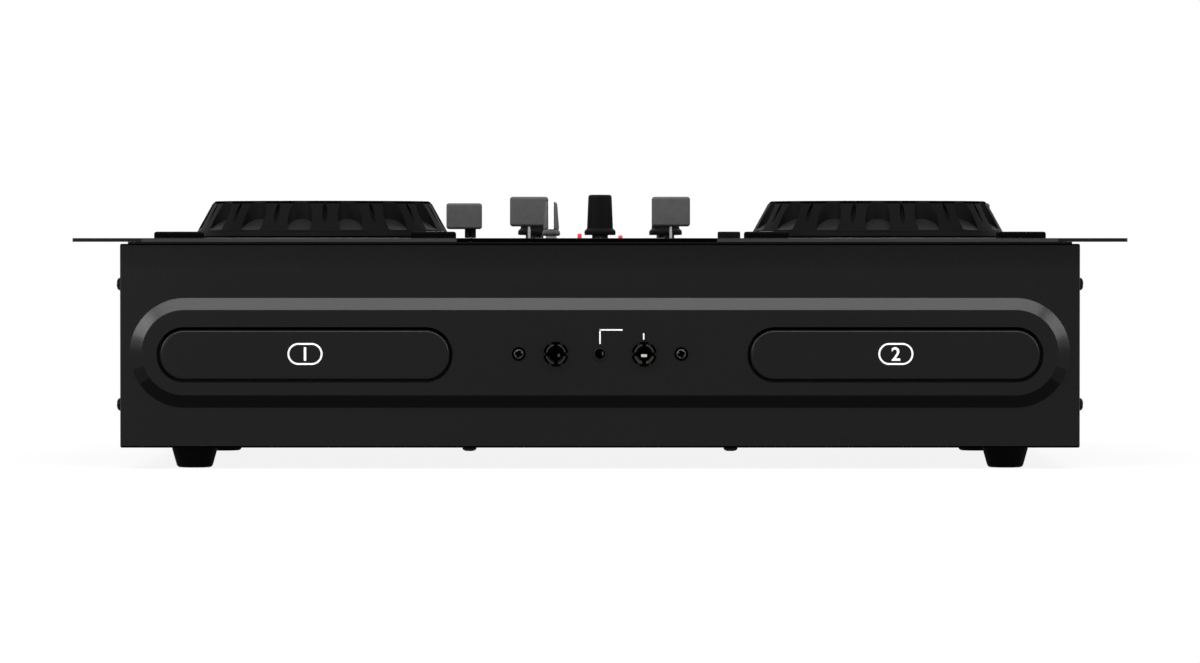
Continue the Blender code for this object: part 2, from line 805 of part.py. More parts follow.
def chassis():
    size = (CASE_WIDTH, CASE_LENGTH, CASE_HEIGHT)
    centre = (0, CASE_MIDDLE, FOOT_HEIGHT + CASE_HEIGHT / 2)

    def at_floor(edge):
        return all(vert.co.z < FOOT_HEIGHT + SHEET for vert in edge.verts)

    def inside(inset, low, high):
        return block(
            (inset - CASE_WIDTH / 2, CASE_FRONT + inset, low),
            (CASE_WIDTH / 2 - inset, CASE_REAR - inset, high),
        )

    lip_top = PLATE_BOTTOM - SEAT_GAP
    solids = [
        rounded(size, centre, CASE_EDGE, kept=at_floor),
        inside(LIP_INSET, CASE_TOP - SHEET, lip_top),
        loft(band_rings(0, 0, CASE_FRONT + SHEET / 2)),
    ]
    cuts = [
        inside(SHEET, CASE_FLOOR, CASE_TOP - SHEET),
        inside(LIP_INSET + LIP_WIDTH, CASE_TOP - SHEET - OVERRUN, lip_top + OVERRUN),
        loft(band_rings(SHEET, SHEET, CASE_FRONT + SHEET + OVERRUN)),
    ]
    through = (BAND_FACE - OVERRUN, CASE_FRONT + SHEET + OVERRUN)
    for side, _ in SIDES:
        x = side * DRIVE_SPACING / 2
        cuts.append(pill(OPENING_LENGTH, OPENING_HEIGHT, x, DOOR_Z, *through, DOOR_SIDES))
        jack = (side * JACK_SPACING / 2, through[0], FOOT_HEIGHT + JACK_HEIGHT)
        cuts.append(rod(JACK_BUSH_RADIUS + SEAT_GAP, jack, through[1] - through[0], "Y"))
    mini = (0, through[0], FOOT_HEIGHT + JACK_HEIGHT)
    cuts.append(rod(MINI_BUSH_RADIUS + SEAT_GAP, mini, through[1] - through[0], "Y", COARSE))
    behind = CASE_REAR - SHEET / 2
    for x, z, width, height in (rca_window(), inlet_window()):
        cuts.append(box((width, SHEET + 2 * OVERRUN, height), (x, behind, z)))
    return node("chassis", black_paint(), solids, cuts)


def rca_window():
    width = (RCA_COLUMNS - 1) * RCA_PITCH + 2 * (RCA_COLLAR_RADIUS + RCA_SIDE_MARGIN)
    height = RCA_ROW_PITCH + 2 * (RCA_COLLAR_RADIUS + RCA_END_MARGIN)
    return RCA_X, FOOT_HEIGHT + RCA_HEIGHT, width, height


def inlet_window():
    return INLET_X, INLET_Z, INLET_LENGTH - 2 * INLET_FLANGE, INLET_WIDTH - 2 * INLET_FLANGE


def top_plate():
    outlines = [rectangle(0, 0, PLATE_WIDTH, PLATE_DEPTH, PLATE_CORNER)]
    for x in (-RACK_HOLE_WIDTH / 2, RACK_HOLE_WIDTH / 2):
        for y in (-RACK_HOLE_DEPTH / 2, RACK_HOLE_DEPTH / 2):
            outlines.append(slot(x, y, RACK_SLOT_LENGTH, RACK_SLOT_WIDTH))
    for _, x, y, width, depth, _ in button_places():
        outlines.append(rectangle(x, y, width + 2 * SEAT_GAP, depth + 2 * SEAT_GAP))
    for _, x, y, _ in knob_places():
        outlines.append(circle(x, y, KNOB_SHAFT_RADIUS + RUN_GAP, PIN_SIDES))
    lever_slot = LEVER_THICKNESS + 2 * LEVER_SLOT_GAP
    for side, _ in SIDES:
        skip_x = deck_x(side) + SKIP_OFFSET
        display_x = deck_x(side) + DISPLAY_OFFSET
        outlines.append(circle(deck_x(side), JOG_Y, JOG_POST_RADIUS + SEAT_GAP))
        outlines.append(rectangle(skip_x, BUTTON_Y, SKIP_WIDTH + 2 * RUN_GAP, EJECT_DEPTH + 2 * RUN_GAP))
        gap = 2 * SEAT_GAP
        outlines.append(rectangle(display_x, DISPLAY_Y, DISPLAY_WIDTH + gap, DISPLAY_DEPTH + gap))
        pitch_length = PITCH_TRAVEL + LEVER_DEPTH + 2 * LEVER_SLOT_GAP
        outlines.append(rectangle(pitch_slot_x(side), FRONT + PITCH_PLACE, lever_slot, pitch_length))
        channel_length = CHANNEL_TRAVEL + LEVER_DEPTH + 2 * LEVER_SLOT_GAP
        outlines.append(rectangle(channel_x(side), channel_slot_y(), lever_slot, channel_length))
    cross_length = CROSS_TRAVEL + LEVER_DEPTH + 2 * LEVER_SLOT_GAP
    outlines.append(rectangle(0, CROSS_Y, cross_length, lever_slot))
    return plate_from_outlines("top_plate", black_paint(), outlines, PLATE_THICKNESS, PLATE_BOTTOM)


def feet():
    top = FOOT_HEIGHT - SEAT_GAP
    slope = (FOOT_TOP_RADIUS - FOOT_BOTTOM_RADIUS) * FOOT_EDGE / FOOT_HEIGHT
    profile = (
        (0, top),
        (FOOT_TOP_RADIUS, top),
        (FOOT_BOTTOM_RADIUS + slope, FOOT_EDGE),
        (FOOT_BOTTOM_RADIUS - FOOT_EDGE, 0),
        (FOOT_SCREW_RADIUS, 0),
        (FOOT_SCREW_RADIUS, FOOT_SCREW_DEPTH),
        (0, FOOT_SCREW_DEPTH),
    )
    for side, label in SIDES:
        for end, y in FOOT_ENDS:
            at = (side * FOOT_SPACING / 2, y, 0)
            turned(f"foot_{end}_{label}", rubber(), profile, at)


# Disc drives

def drive_frame(side, label):
    x = side * DRIVE_SPACING / 2
    bottom = FRAME_FLOOR_TOP - FRAME_FLOOR
    rail_top = TRAY_BOTTOM - SEAT_GAP
    keeper_bottom = TRAY_TOP + SEAT_GAP
    window = TRAVERSE_WIDTH / 2 + TRAVERSE_GAP

    def across(inner, outer, y0, y1, z0, z1, hand):
        near, far = sorted((x + hand * inner, x + hand * outer))
        return block((near, y0, z0), (far, y1, z1))

    solids = [block((x - FRAME_OUTER, FRAME_FRONT, bottom), (x + FRAME_OUTER, FRAME_REAR, FRAME_FLOOR_TOP))]
    wall_top = BRIDGE_TOP
    for hand in (LEFT, RIGHT):
        solids.append(across(FRAME_INNER, FRAME_OUTER, FRAME_FRONT, FRAME_REAR, bottom, wall_top, hand))
        inner = FRAME_INNER - RAIL_WIDTH
        rail_bottom = rail_top - RAIL_THICKNESS
        wide = FRAME_INNER + JOIN
        solids.append(across(inner, wide, FRAME_FRONT, FRAME_REAR, rail_bottom, rail_top, hand))
        keeper_inner = FRAME_INNER - KEEPER_WIDTH
        keeper_top = keeper_bottom + KEEPER_THICKNESS
        keeper_end = SPINDLE_Y - BRIDGE_LENGTH
        solids.append(across(keeper_inner, wide, FRAME_FRONT, keeper_end, keeper_bottom, keeper_top, hand))
        leg_inner = FRAME_OUTER - FRAME_LEG
        leg_bottom = CASE_FLOOR + SEAT_GAP
        for y in (FRAME_FRONT, FRAME_REAR - FRAME_LEG):
            solids.append(across(leg_inner, FRAME_OUTER, y, y + FRAME_LEG, leg_bottom, bottom + JOIN, hand))
        ear_top = HINGE_Z + HINGE_PIN_RADIUS + TRAVERSE_THICKNESS / 2
        ear = (HINGE_Y - EAR_THICKNESS / 2, HINGE_Y + EAR_THICKNESS / 2)
        solids.append(across(window, window + EAR_THICKNESS, *ear, bottom, ear_top, hand))
    sill_top = rail_top - RAIL_THICKNESS / 2
    sill_back = FRAME_FRONT + FRAME_WALL
    wide = FRAME_INNER + JOIN
    solids.append(block((x - wide, FRAME_FRONT, FRAME_FLOOR_TOP - JOIN), (x + wide, sill_back, sill_top)))
    half = BRIDGE_LENGTH / 2
    solids.append(
        block(
            (x - FRAME_INNER - JOIN, SPINDLE_Y - half, BRIDGE_BOTTOM),
            (x + FRAME_INNER + JOIN, SPINDLE_Y + half, BRIDGE_TOP),
        )
    )
    cuts = [
        block(
            (x - window, SPINDLE_Y - TRAVERSE_FRONT - TRAVERSE_GAP, bottom - OVERRUN),
            (x + window, HINGE_Y + TRAVERSE_TAIL + TRAVERSE_GAP, FRAME_FLOOR_TOP + OVERRUN),
        ),
        rod(
            CLAMP_RADIUS + RUN_GAP,
            (x, SPINDLE_Y, BRIDGE_BOTTOM - OVERRUN),
            BRIDGE_THICKNESS + 2 * OVERRUN,
        ),
        rod(
            HINGE_PIN_RADIUS + SEAT_GAP,
            (x - window - EAR_THICKNESS - OVERRUN, HINGE_Y, HINGE_Z),
            2 * (window + EAR_THICKNESS + OVERRUN),
            "X",
            BORE,
        ),
    ]
    return node(f"drive_frame_{label}", black_plastic(), solids, cuts)


def disc_tray(side, label):
    x = side * DRIVE_SPACING / 2
    rear = TRAY_FRONT + TRAY_LENGTH
    middle = (x, (TRAY_FRONT + rear) / 2, DOOR_Z)
    size = (TRAY_WIDTH, TRAY_LENGTH, TRAY_HEIGHT)
    pocket = DISC_POCKET_DEPTH + OVERRUN
    small = SMALL_POCKET_DEPTH + OVERRUN
    through = TRAY_HEIGHT + 2 * OVERRUN
    half = TRAY_SLOT_WIDTH / 2
    cuts = [
        rod(DISC_POCKET_RADIUS, (x, SPINDLE_Y, TRAY_TOP - DISC_POCKET_DEPTH), pocket, sides=2 * FINE),
        rod(SMALL_POCKET_RADIUS, (x, SPINDLE_Y, TRAY_TOP - SMALL_POCKET_DEPTH), small, sides=FINE),
        rod(half, (x, SPINDLE_Y, TRAY_BOTTOM - OVERRUN), through),
        block(
            (x - half, SPINDLE_Y, TRAY_BOTTOM - OVERRUN),
            (x + half, rear + OVERRUN, TRAY_TOP + OVERRUN),
        ),
    ]
    solids = [rounded(size, middle, TRAY_CORNER, axis=2)]
    pivot = (x, TRAY_FRONT, DOOR_Z)
    return node(f"disc_tray_{label}", black_plastic(), solids, cuts, pivot=pivot)


def tray_door(side, label, tray):
    x = side * DRIVE_SPACING / 2
    half = (DOOR_LENGTH - DOOR_HEIGHT) / 2
    back = DOOR_FACE + DOOR_THICKNESS
    radius = DOOR_HEIGHT / 2
    rings = [pill_ring(half, radius, (x, back, DOOR_Z), DOOR_SIDES)]
    for step in range(DOOR_EDGE_STEPS + 1):
        angle = math.pi / 2 * step / DOOR_EDGE_STEPS
        inset = DOOR_EDGE * (1 - math.cos(angle))
        y = DOOR_FACE + DOOR_EDGE * (1 - math.sin(angle))
        rings.append(pill_ring(half, radius - inset, (x, y, DOOR_Z), DOOR_SIDES))
    return node(f"tray_door_{label}", black_paint(), [loft(rings)], pivot=(x, back, DOOR_Z), parent=tray)


def traverse(side, label):
    """The sub-chassis that carries the disc motor and the laser sled, hinged at its rear."""
    x = side * DRIVE_SPACING / 2
    half = TRAVERSE_WIDTH / 2
    front = SPINDLE_Y - TRAVERSE_FRONT
    rear = HINGE_Y + TRAVERSE_TAIL
    low = TRAVERSE_BOTTOM - MOTOR_BELOW
    solids = [
        block((x - half, front, TRAVERSE_BOTTOM), (x + half, rear, TRAVERSE_TOP)),
        rod(MOTOR_RADIUS, (x, SPINDLE_Y, low), TRAVERSE_TOP + MOTOR_ABOVE - low),
    ]
    studs = []
    pin = HINGE_PIN_LENGTH + JOIN
    solids.append(rod(HINGE_PIN_RADIUS, (x - half - HINGE_PIN_LENGTH, HINGE_Y, HINGE_Z), pin, "X", BORE))
    solids.append(rod(HINGE_PIN_RADIUS, (x + half - JOIN, HINGE_Y, HINGE_Z), pin, "X", BORE))
    for hand in (LEFT, RIGHT):
        rail_x = x + hand * ROD_SPACING / 2
        for y in (SPINDLE_Y + ROD_FRONT, SPINDLE_Y + ROD_REAR):
            size = (ROD_POST, ROD_POST, ROD_RISE + 2 * ROD_RADIUS)
            middle = (rail_x, y + ROD_POST / 2, TRAVERSE_TOP - JOIN + size[2] / 2)
            solids.append(box(size, middle))
        start = (rail_x, SPINDLE_Y + ROD_FRONT + JOIN, ROD_Z)
        studs.append(rod(ROD_RADIUS, start, ROD_REAR - ROD_FRONT, "Y", BORE))
    window = OPTICS_WINDOW_WIDTH / 2
    cuts = [
        block(
            (x - window, SPINDLE_Y + ROD_FRONT + ROD_POST, TRAVERSE_BOTTOM - OVERRUN),
            (x + window, SPINDLE_Y + ROD_REAR, TRAVERSE_TOP + OVERRUN),
        )
    ]
    pivot = (x, HINGE_Y, HINGE_Z)
    return node(f"traverse_{label}", steel(), solids, cuts, studs, pivot=pivot)


def turntable(side, label, carrier):
    bottom = TRAVERSE_TOP + MOTOR_ABOVE + SEAT_GAP
    base = DISC_SEAT - bottom
    profile = (
        (0, base + CONE_HEIGHT),
        (CONE_TOP_RADIUS, base + CONE_HEIGHT),
        (CONE_BASE_RADIUS, base + CONE_BAND),
        (CONE_BASE_RADIUS, base),
        (TURNTABLE_RADIUS, base),
        (TURNTABLE_RADIUS, base - TURNTABLE_THICKNESS),
        (HUB_RADIUS, base - TURNTABLE_THICKNESS),
        (HUB_RADIUS, 0),
        (0, 0),
    )
    pivot = (side * DRIVE_SPACING / 2, SPINDLE_Y, bottom)
    return turned(f"turntable_{label}", black_plastic(), profile, pivot, parent=carrier)


def pickup(side, label, carrier):
    """The laser sled, which slides on the two rods."""
    x = side * DRIVE_SPACING / 2
    y = SPINDLE_Y + LENS_START
    bottom = ROD_Z - SLED_HEIGHT / 2
    middle = (x, y, bottom + SLED_HEIGHT / 2)
    solids = [
        box((SLED_WIDTH, SLED_LENGTH, SLED_HEIGHT), middle),
        rod(LENS_RADIUS, (x, y, bottom + SLED_HEIGHT - JOIN), LENS_RISE + JOIN, sides=COARSE),
    ]
    cuts = []
    for hand in (LEFT, RIGHT):
        start = (x + hand * ROD_SPACING / 2, y - SLED_LENGTH / 2 - OVERRUN, ROD_Z)
        cuts.append(rod(ROD_RADIUS + SEAT_GAP, start, SLED_LENGTH + 2 * OVERRUN, "Y", BORE))
    return node(f"pickup_{label}", black_plastic(), solids, cuts, pivot=middle, parent=carrier)


def disc_clamp(side, label):
    """The puck that hangs in the bridge by its flange and holds a disc down."""
    top = BRIDGE_TOP + SEAT_GAP + CLAMP_FLANGE
    bottom = BRIDGE_BOTTOM - CLAMP_HANG
    profile = (
        (0, top - bottom),
        (CLAMP_FLANGE_RADIUS, top - bottom),
        (CLAMP_FLANGE_RADIUS, top - bottom - CLAMP_FLANGE),
        (CLAMP_RADIUS, top - bottom - CLAMP_FLANGE),
        (CLAMP_RADIUS, 0),
        (0, 0),
    )
    pivot = (side * DRIVE_SPACING / 2, SPINDLE_Y, bottom)
    return turned(f"disc_clamp_{label}", black_plastic(), profile, pivot)


def disc_drives():
    for side, label in SIDES:
        drive_frame(side, label)
        tray = disc_tray(side, label)
        tray_door(side, label, tray)
        carrier = traverse(side, label)
        turntable(side, label, carrier)
        pickup(side, label, carrier)
        disc_clamp(side, label)


# Jog wheels

def cone_radius(z):
    """The wheel's outer radius at a height, on its sloping side."""
    low = JOG_BOTTOM + JOG_SKIRT
    share = max(0, (z - low) / (JOG_TOP - low))
    return JOG_RADIUS + (JOG_TOP_RADIUS - JOG_RADIUS) * share


def hollow_floor(angle):
    """The radius of a hollow's upright floor, at an angle from its middle."""
    centre = JOG_TOP_RADIUS - HOLLOW_DEPTH + HOLLOW_RADIUS
    reach = HOLLOW_RADIUS**2 - (centre * math.sin(angle)) ** 2
    return centre * math.cos(angle) - math.sqrt(max(0, reach))


def hollow_half_angle(radius):
    """Half the angle that a hollow takes out of a circle of this radius."""
    centre = JOG_TOP_RADIUS - HOLLOW_DEPTH + HOLLOW_RADIUS
    cosine = (radius**2 + centre**2 - HOLLOW_RADIUS**2) / (2 * radius * centre)
    return math.acos(max(-1, min(1, cosine)))


def hollow_middle(side, count):
    """The angle of a hollow's middle, as the wheel stands at rest."""
    turn = math.radians(JOG_TURNS[0 if side == LEFT else 1])
    return 2 * math.pi * (count + 0.5) / HOLLOWS - math.pi / 2 + turn


def jog_ring(side, z, radius, hollow):
    """One section of the wheel: its lands, and its hollows as deep as they are at this height."""
    ledge = JOG_BOTTOM + JOG_SKIRT + LEDGE_HEIGHT
    half = hollow_half_angle(min(radius, cone_radius(ledge)))
    points = []
    for count in range(HOLLOWS):
        middle = hollow_middle(side, count)
        points.append((radius, middle - half, z))
        for share in HOLLOW_POINT_SHARES:
            floor = min(radius, hollow_floor(half * share)) if hollow else radius
            height = z
            if hollow == "ledge":
                height = ledge + LEDGE_LIP + (cone_radius(ledge) - floor) * LEDGE_SLOPE_SHARE
            points.append((floor, middle + half * share, height))
        points.append((radius, middle + half, z))
    x = deck_x(side)
    return [(x + r * math.cos(a), JOG_Y + r * math.sin(a), height) for r, a, height in points]


def jog_wheel(side, label):
    x = deck_x(side)
    skirt = JOG_BOTTOM + JOG_SKIRT
    ledge = skirt + LEDGE_HEIGHT
    above = ledge + LEDGE_LIP
    top_radius = JOG_TOP_RADIUS
    rings = [
        jog_ring(side, JOG_BOTTOM, JOG_RADIUS, None),
        jog_ring(side, skirt, JOG_RADIUS, None),
        jog_ring(side, ledge, cone_radius(ledge), None),
        jog_ring(side, above, cone_radius(above), "ledge"),
        jog_ring(side, JOG_TOP - JOG_EDGE, cone_radius(JOG_TOP - JOG_EDGE), "full"),
        jog_ring(side, JOG_TOP, top_radius - JOG_EDGE, "full"),
        jog_ring(side, JOG_TOP, top_radius - JOG_RIM, None),
        jog_ring(side, JOG_TOP - JOG_DISH, top_radius - JOG_RIM - JOG_DISH, None),
    ]
    hub_bottom = JOG_BOTTOM - JOG_HUB_DROP
    solids = [
        loft(rings),
        rod(JOG_HUB_RADIUS, (x, JOG_Y, hub_bottom), JOG_HUB_DROP + JOIN, sides=COARSE),
    ]
    sphere = (JOG_DIMPLE_RADIUS**2 + JOG_DIMPLE_DEPTH**2) / (2 * JOG_DIMPLE_DEPTH)
    centre = (x, JOG_Y + JOG_DIMPLE_PLACE, JOG_TOP - JOG_DISH - JOG_DIMPLE_DEPTH + sphere)
    cuts = [ball(sphere, centre)]
    return node(f"jog_wheel_{label}", black_plastic(), solids, cuts, pivot=(x, JOG_Y, JOG_BOTTOM))


# Controls

def key(name, x, y, width, depth, height):
    """A key that stands through the plate, held under it by a flange."""
    bottom = FLANGE_BOTTOM + FLANGE_THICKNESS / 2
    top = PLATE_TOP + height
    size = (width, depth, top - bottom)

    def is_low(edge):
        return min(vert.co.z for vert in edge.verts) < PLATE_BOTTOM

    edge_radius = min(PAD_EDGE, height / 2)
    solids = [
        rounded(size, (x, y, (top + bottom) / 2), edge_radius, kept=is_low),
        box(
            (width + 2 * FLANGE, depth + 2 * FLANGE, FLANGE_THICKNESS),
            (x, y, FLANGE_BOTTOM + FLANGE_THICKNESS / 2),
        ),
    ]
    return node(name, black_plastic(), solids, pivot=(x, y, PLATE_TOP))


def skip_rocker(side, label):
    """A rocker for the track before and the track after, tilting about its middle."""
    x = deck_x(side) + SKIP_OFFSET
    pivot = (x, BUTTON_Y, SKIP_AXIS)
    top = PLATE_TOP + EJECT_HEIGHT
    bottom = PLATE_BOTTOM
    size = (SKIP_WIDTH, EJECT_DEPTH, top - bottom)

    def is_low(edge):
        return min(vert.co.z for vert in edge.verts) < PLATE_BOTTOM + SHEET / 2

    solids = [
        rounded(size, (x, BUTTON_Y, (top + bottom) / 2), EJECT_HEIGHT / 2, kept=is_low),
        rod(
            SKIP_PIVOT_RADIUS,
            (x, BUTTON_Y - EJECT_DEPTH / 2 + JOIN, SKIP_AXIS),
            EJECT_DEPTH - 2 * JOIN,
            "Y",
            BORE,
        ),
    ]
    return node(f"skip_rocker_{label}", black_plastic(), solids, pivot=pivot)


def knob(name, x, y, height):
    shaft_bottom = BOARD_TOP + POT_HEIGHT + SEAT_GAP - PLATE_TOP
    top = KNOB_LIFT + height
    profile = (
        (0, top),
        (KNOB_TOP_RADIUS, top),
        (KNOB_WAIST_RADIUS, KNOB_LIFT + KNOB_WAIST_HEIGHT),
        (KNOB_FLANGE_RADIUS, KNOB_LIFT + KNOB_FLANGE),
        (KNOB_FLANGE_RADIUS, KNOB_LIFT),
        (KNOB_SHAFT_RADIUS, KNOB_LIFT),
        (KNOB_SHAFT_RADIUS, shaft_bottom),
        (0, shaft_bottom),
    )
    return turned(name, black_plastic(), profile, (x, y, PLATE_TOP), COARSE)


def tapered_cap(centre, bottom, width, depth, top_width, top_depth, height):
    """A four-sided cap that narrows upwards."""

    def ring(half_width, half_depth, z):
        x, y = centre
        corners = ((-1, -1), (1, -1), (1, 1), (-1, 1))
        return [(x + i * half_width, y + j * half_depth, z) for i, j in corners]

    return loft(
        [
            ring(width / 2, depth / 2, bottom),
            ring(top_width / 2, top_depth / 2, bottom + height),
        ]
    )


def lever(x, y, width, depth, top):
    """The flat lever of a slide control, from its track up to its cap."""
    bottom = BOARD_TOP + SLIDER_HEIGHT + SEAT_GAP
    return box((width, depth, top - bottom), (x, y, (top + bottom) / 2))


def grip_groove(x, y, width, top):
    """The hollow across the top of a cap, where a finger rests."""
    radius = (CAP_DEPTH * CAP_GRIP_SHARE) ** 2 / (2 * CAP_GRIP_DEPTH) + CAP_GRIP_DEPTH / 2
    start = (x - width / 2 - OVERRUN, y, top + radius - CAP_GRIP_DEPTH)
    return rod(radius, start, width + 2 * OVERRUN, "X")


def channel_fader(side, label):
    x = channel_x(side)
    bottom = PLATE_TOP + CAP_LIFT
    top = bottom + CAP_HEIGHT
    cap = tapered_cap(
        (x, CHANNEL_Y), bottom, CAP_WIDTH, CAP_DEPTH, CAP_WIDTH, CAP_DEPTH * CAP_TAPER_SHARE, CAP_HEIGHT
    )
    solids = [cap, lever(x, CHANNEL_Y, LEVER_THICKNESS, LEVER_DEPTH, bottom + JOIN)]
    cuts = [grip_groove(x, CHANNEL_Y, CAP_WIDTH, top)]
    pivot = (x, CHANNEL_Y, PLATE_TOP)
    return node(f"channel_fader_{label}", grey_plastic(), solids, cuts, pivot=pivot)


def pitch_fader(side, label):
    x = pitch_x(side)
    y = FRONT + PITCH_PLACE
    bottom = PLATE_TOP + PITCH_CAP_LIFT
    top = bottom + PITCH_CAP_HEIGHT
    narrow = CAP_DEPTH * CAP_TAPER_SHARE
    stem_bottom = PLATE_TOP + RUN_GAP
    stem_height = bottom + JOIN - stem_bottom
    cap = tapered_cap(
        (x, y), bottom, PITCH_CAP_WIDTH, CAP_DEPTH, PITCH_CAP_WIDTH, narrow, PITCH_CAP_HEIGHT
    )
    solids = [
        cap,
        box(
            (PITCH_STEM_WIDTH, LEVER_DEPTH, stem_height),
            (pitch_slot_x(side), y, stem_bottom + stem_height / 2),
        ),
        lever(pitch_slot_x(side), y, LEVER_THICKNESS, LEVER_DEPTH, bottom + JOIN / 2),
    ]
    cuts = [grip_groove(x, y, PITCH_CAP_WIDTH, top)]
    return node(f"pitch_fader_{label}", grey_plastic(), solids, cuts, pivot=(x, y, PLATE_TOP))


def crossfader():
    x = CROSS_REST
    bottom = PLATE_TOP + CROSS_CAP_LIFT
    foot = bottom + CROSS_CAP_FOOT

    def ring(width, length, z):
        corners = ((-1, -1), (1, -1), (1, 1), (-1, 1))
        return [(x + i * width / 2, CROSS_Y + j * length / 2, z) for i, j in corners]

    waist = (CROSS_CAP_BASE + CROSS_CAP_TOP) / 2
    rings = [
        ring(CROSS_CAP_BASE, CROSS_CAP_LENGTH, bottom),
        ring(waist, CROSS_CAP_LENGTH, foot),
        ring(CROSS_CAP_TOP, CROSS_CAP_LENGTH * CAP_TAPER_SHARE, bottom + CROSS_CAP_HEIGHT),
    ]
    solids = [loft(rings), lever(x, CROSS_Y, LEVER_DEPTH, LEVER_THICKNESS, bottom + JOIN)]
    return node("crossfader", grey_plastic(), solids, pivot=(x, CROSS_Y, PLATE_TOP))


def display(side, label):
    x = deck_x(side) + DISPLAY_OFFSET
    top = PLATE_TOP + DISPLAY_HEIGHT
    module_top = PLATE_BOTTOM - SEAT_GAP
    size = (DISPLAY_WIDTH, DISPLAY_DEPTH, top - module_top + JOIN)
    border = 2 * DISPLAY_BORDER
    solids = [
        box(size, (x, DISPLAY_Y, (top + module_top - JOIN) / 2)),
        box(
            (DISPLAY_WIDTH + border, DISPLAY_DEPTH + border, DISPLAY_MODULE),
            (x, DISPLAY_Y, module_top - DISPLAY_MODULE / 2),
        ),
    ]
    return node(f"display_{label}", dark_window(), solids, pivot=(x, DISPLAY_Y, PLATE_TOP))


def controls():
    for place_of_key in button_places():
        key(*place_of_key)
    for place_of_knob in knob_places():
        knob(*place_of_knob)
    for side, label in SIDES:
        jog_wheel(side, label)
        skip_rocker(side, label)
        display(side, label)
        channel_fader(side, label)
        pitch_fader(side, label)
    crossfader()


# Circuit boards

def pillar(x, y):
    return rod(PILLAR_RADIUS, (x, y, BOARD_TOP - JOIN), BOARD_DROP + JOIN - SEAT_GAP, sides=BORE)


def on_board(x, y, width, depth, height):
    """A component that stands on an upper board."""
    return block(
        (x - width / 2, y - depth / 2, BOARD_TOP - JOIN / 2),
        (x + width / 2, y + depth / 2, BOARD_TOP + height),
    )


def key_switch(x, y):
    height = FLANGE_BOTTOM - PRESS_TRAVEL - SEAT_GAP - BOARD_TOP
    return on_board(x, y, SWITCH_WIDTH, SWITCH_WIDTH, height)


def deck_board(side, label):
    inner = side * BOARD_SPLIT
    outer = side * (CASE_WIDTH / 2 - SHEET - BOARD_SIDE_GAP)
    low, high = sorted((inner, outer))
    start, end = BOARD_FRONT, BOARD_REAR
    x = deck_x(side)
    post_top = JOG_BOTTOM - SEAT_GAP
    pitch_length = PITCH_TRAVEL + 2 * SLIDER_END
    solids = [
        block((low, start, BOARD_TOP - BOARD), (high, end, BOARD_TOP)),
        rod(JOG_POST_RADIUS, (x, JOG_Y, BOARD_TOP - JOIN / 2), post_top - BOARD_TOP + JOIN / 2),
        on_board(pitch_slot_x(side), FRONT + PITCH_PLACE, SLIDER_WIDTH, pitch_length, SLIDER_HEIGHT),
    ]
    for name, key_x, key_y, *_ in button_places():
        if name.endswith(label) or (name == "source_button" and side == RIGHT):
            solids.append(key_switch(key_x, key_y))
    skip_x = x + SKIP_OFFSET
    skip_top = SKIP_AXIS - SKIP_PIVOT_RADIUS - SEAT_GAP - BOARD_TOP
    solids.append(on_board(skip_x, BUTTON_Y, SWITCH_WIDTH, SWITCH_WIDTH, skip_top))
    module = PLATE_BOTTOM - 2 * SEAT_GAP - DISPLAY_MODULE - BOARD_TOP
    display_x = x + DISPLAY_OFFSET
    solids.append(on_board(display_x, DISPLAY_Y, DISPLAY_WIDTH / 2, DISPLAY_DEPTH / 2, module))
    inset = 2 * PILLAR_RADIUS
    for pillar_x in (low + inset, high - inset):
        for pillar_y in (start + FRONT_PILLARS, end - inset):
            solids.append(pillar(pillar_x, pillar_y))
    bore = JOG_HUB_RADIUS + SEAT_GAP
    cuts = [rod(bore, (x, JOG_Y, BOARD_TOP), post_top - BOARD_TOP + OVERRUN, sides=COARSE)]
    return node(f"deck_board_{label}", board_green(), solids, cuts)


def mixer_board():
    start, end = BOARD_FRONT, BOARD_REAR
    half = MIXER_WIDTH / 2
    solids = [block((-half, start, BOARD_TOP - BOARD), (half, end, BOARD_TOP))]
    for _, x, y, _ in knob_places():
        solids.append(on_board(x, y, POT_WIDTH, POT_WIDTH, POT_HEIGHT))
    for side, _ in SIDES:
        length = CHANNEL_TRAVEL + 2 * SLIDER_END
        solids.append(on_board(channel_x(side), channel_slot_y(), SLIDER_WIDTH, length, SLIDER_HEIGHT))
        for y in (start + FRONT_PILLARS, end - 2 * PILLAR_RADIUS):
            solids.append(pillar(side * (half - 2 * PILLAR_RADIUS), y))
    solids.append(on_board(0, CROSS_Y, CROSS_TRAVEL + 2 * SLIDER_END, SLIDER_WIDTH, SLIDER_HEIGHT))
    return node("mixer_board", board_green(), solids)


def lower_board(name, near, length, components):
    """A board on four pillars over the case's floor, between the drives, with what stands on it."""
    top = CASE_FLOOR + LOWER_BOARD_LIFT + BOARD
    half = BAY_WIDTH / 2
    solids = [block((-half, near, top - BOARD), (half, near + length, top))]
    for side, _ in SIDES:
        for y in (near + 2 * PILLAR_RADIUS, near + length - 2 * PILLAR_RADIUS):
            foot = (side * (half - 2 * PILLAR_RADIUS), y, CASE_FLOOR + SEAT_GAP)
            solids.append(rod(PILLAR_RADIUS, foot, LOWER_BOARD_LIFT + BOARD / 2, sides=BORE))
    solids.extend(components(top - BOARD / 2, near))
    return node(name, board_green(), solids)


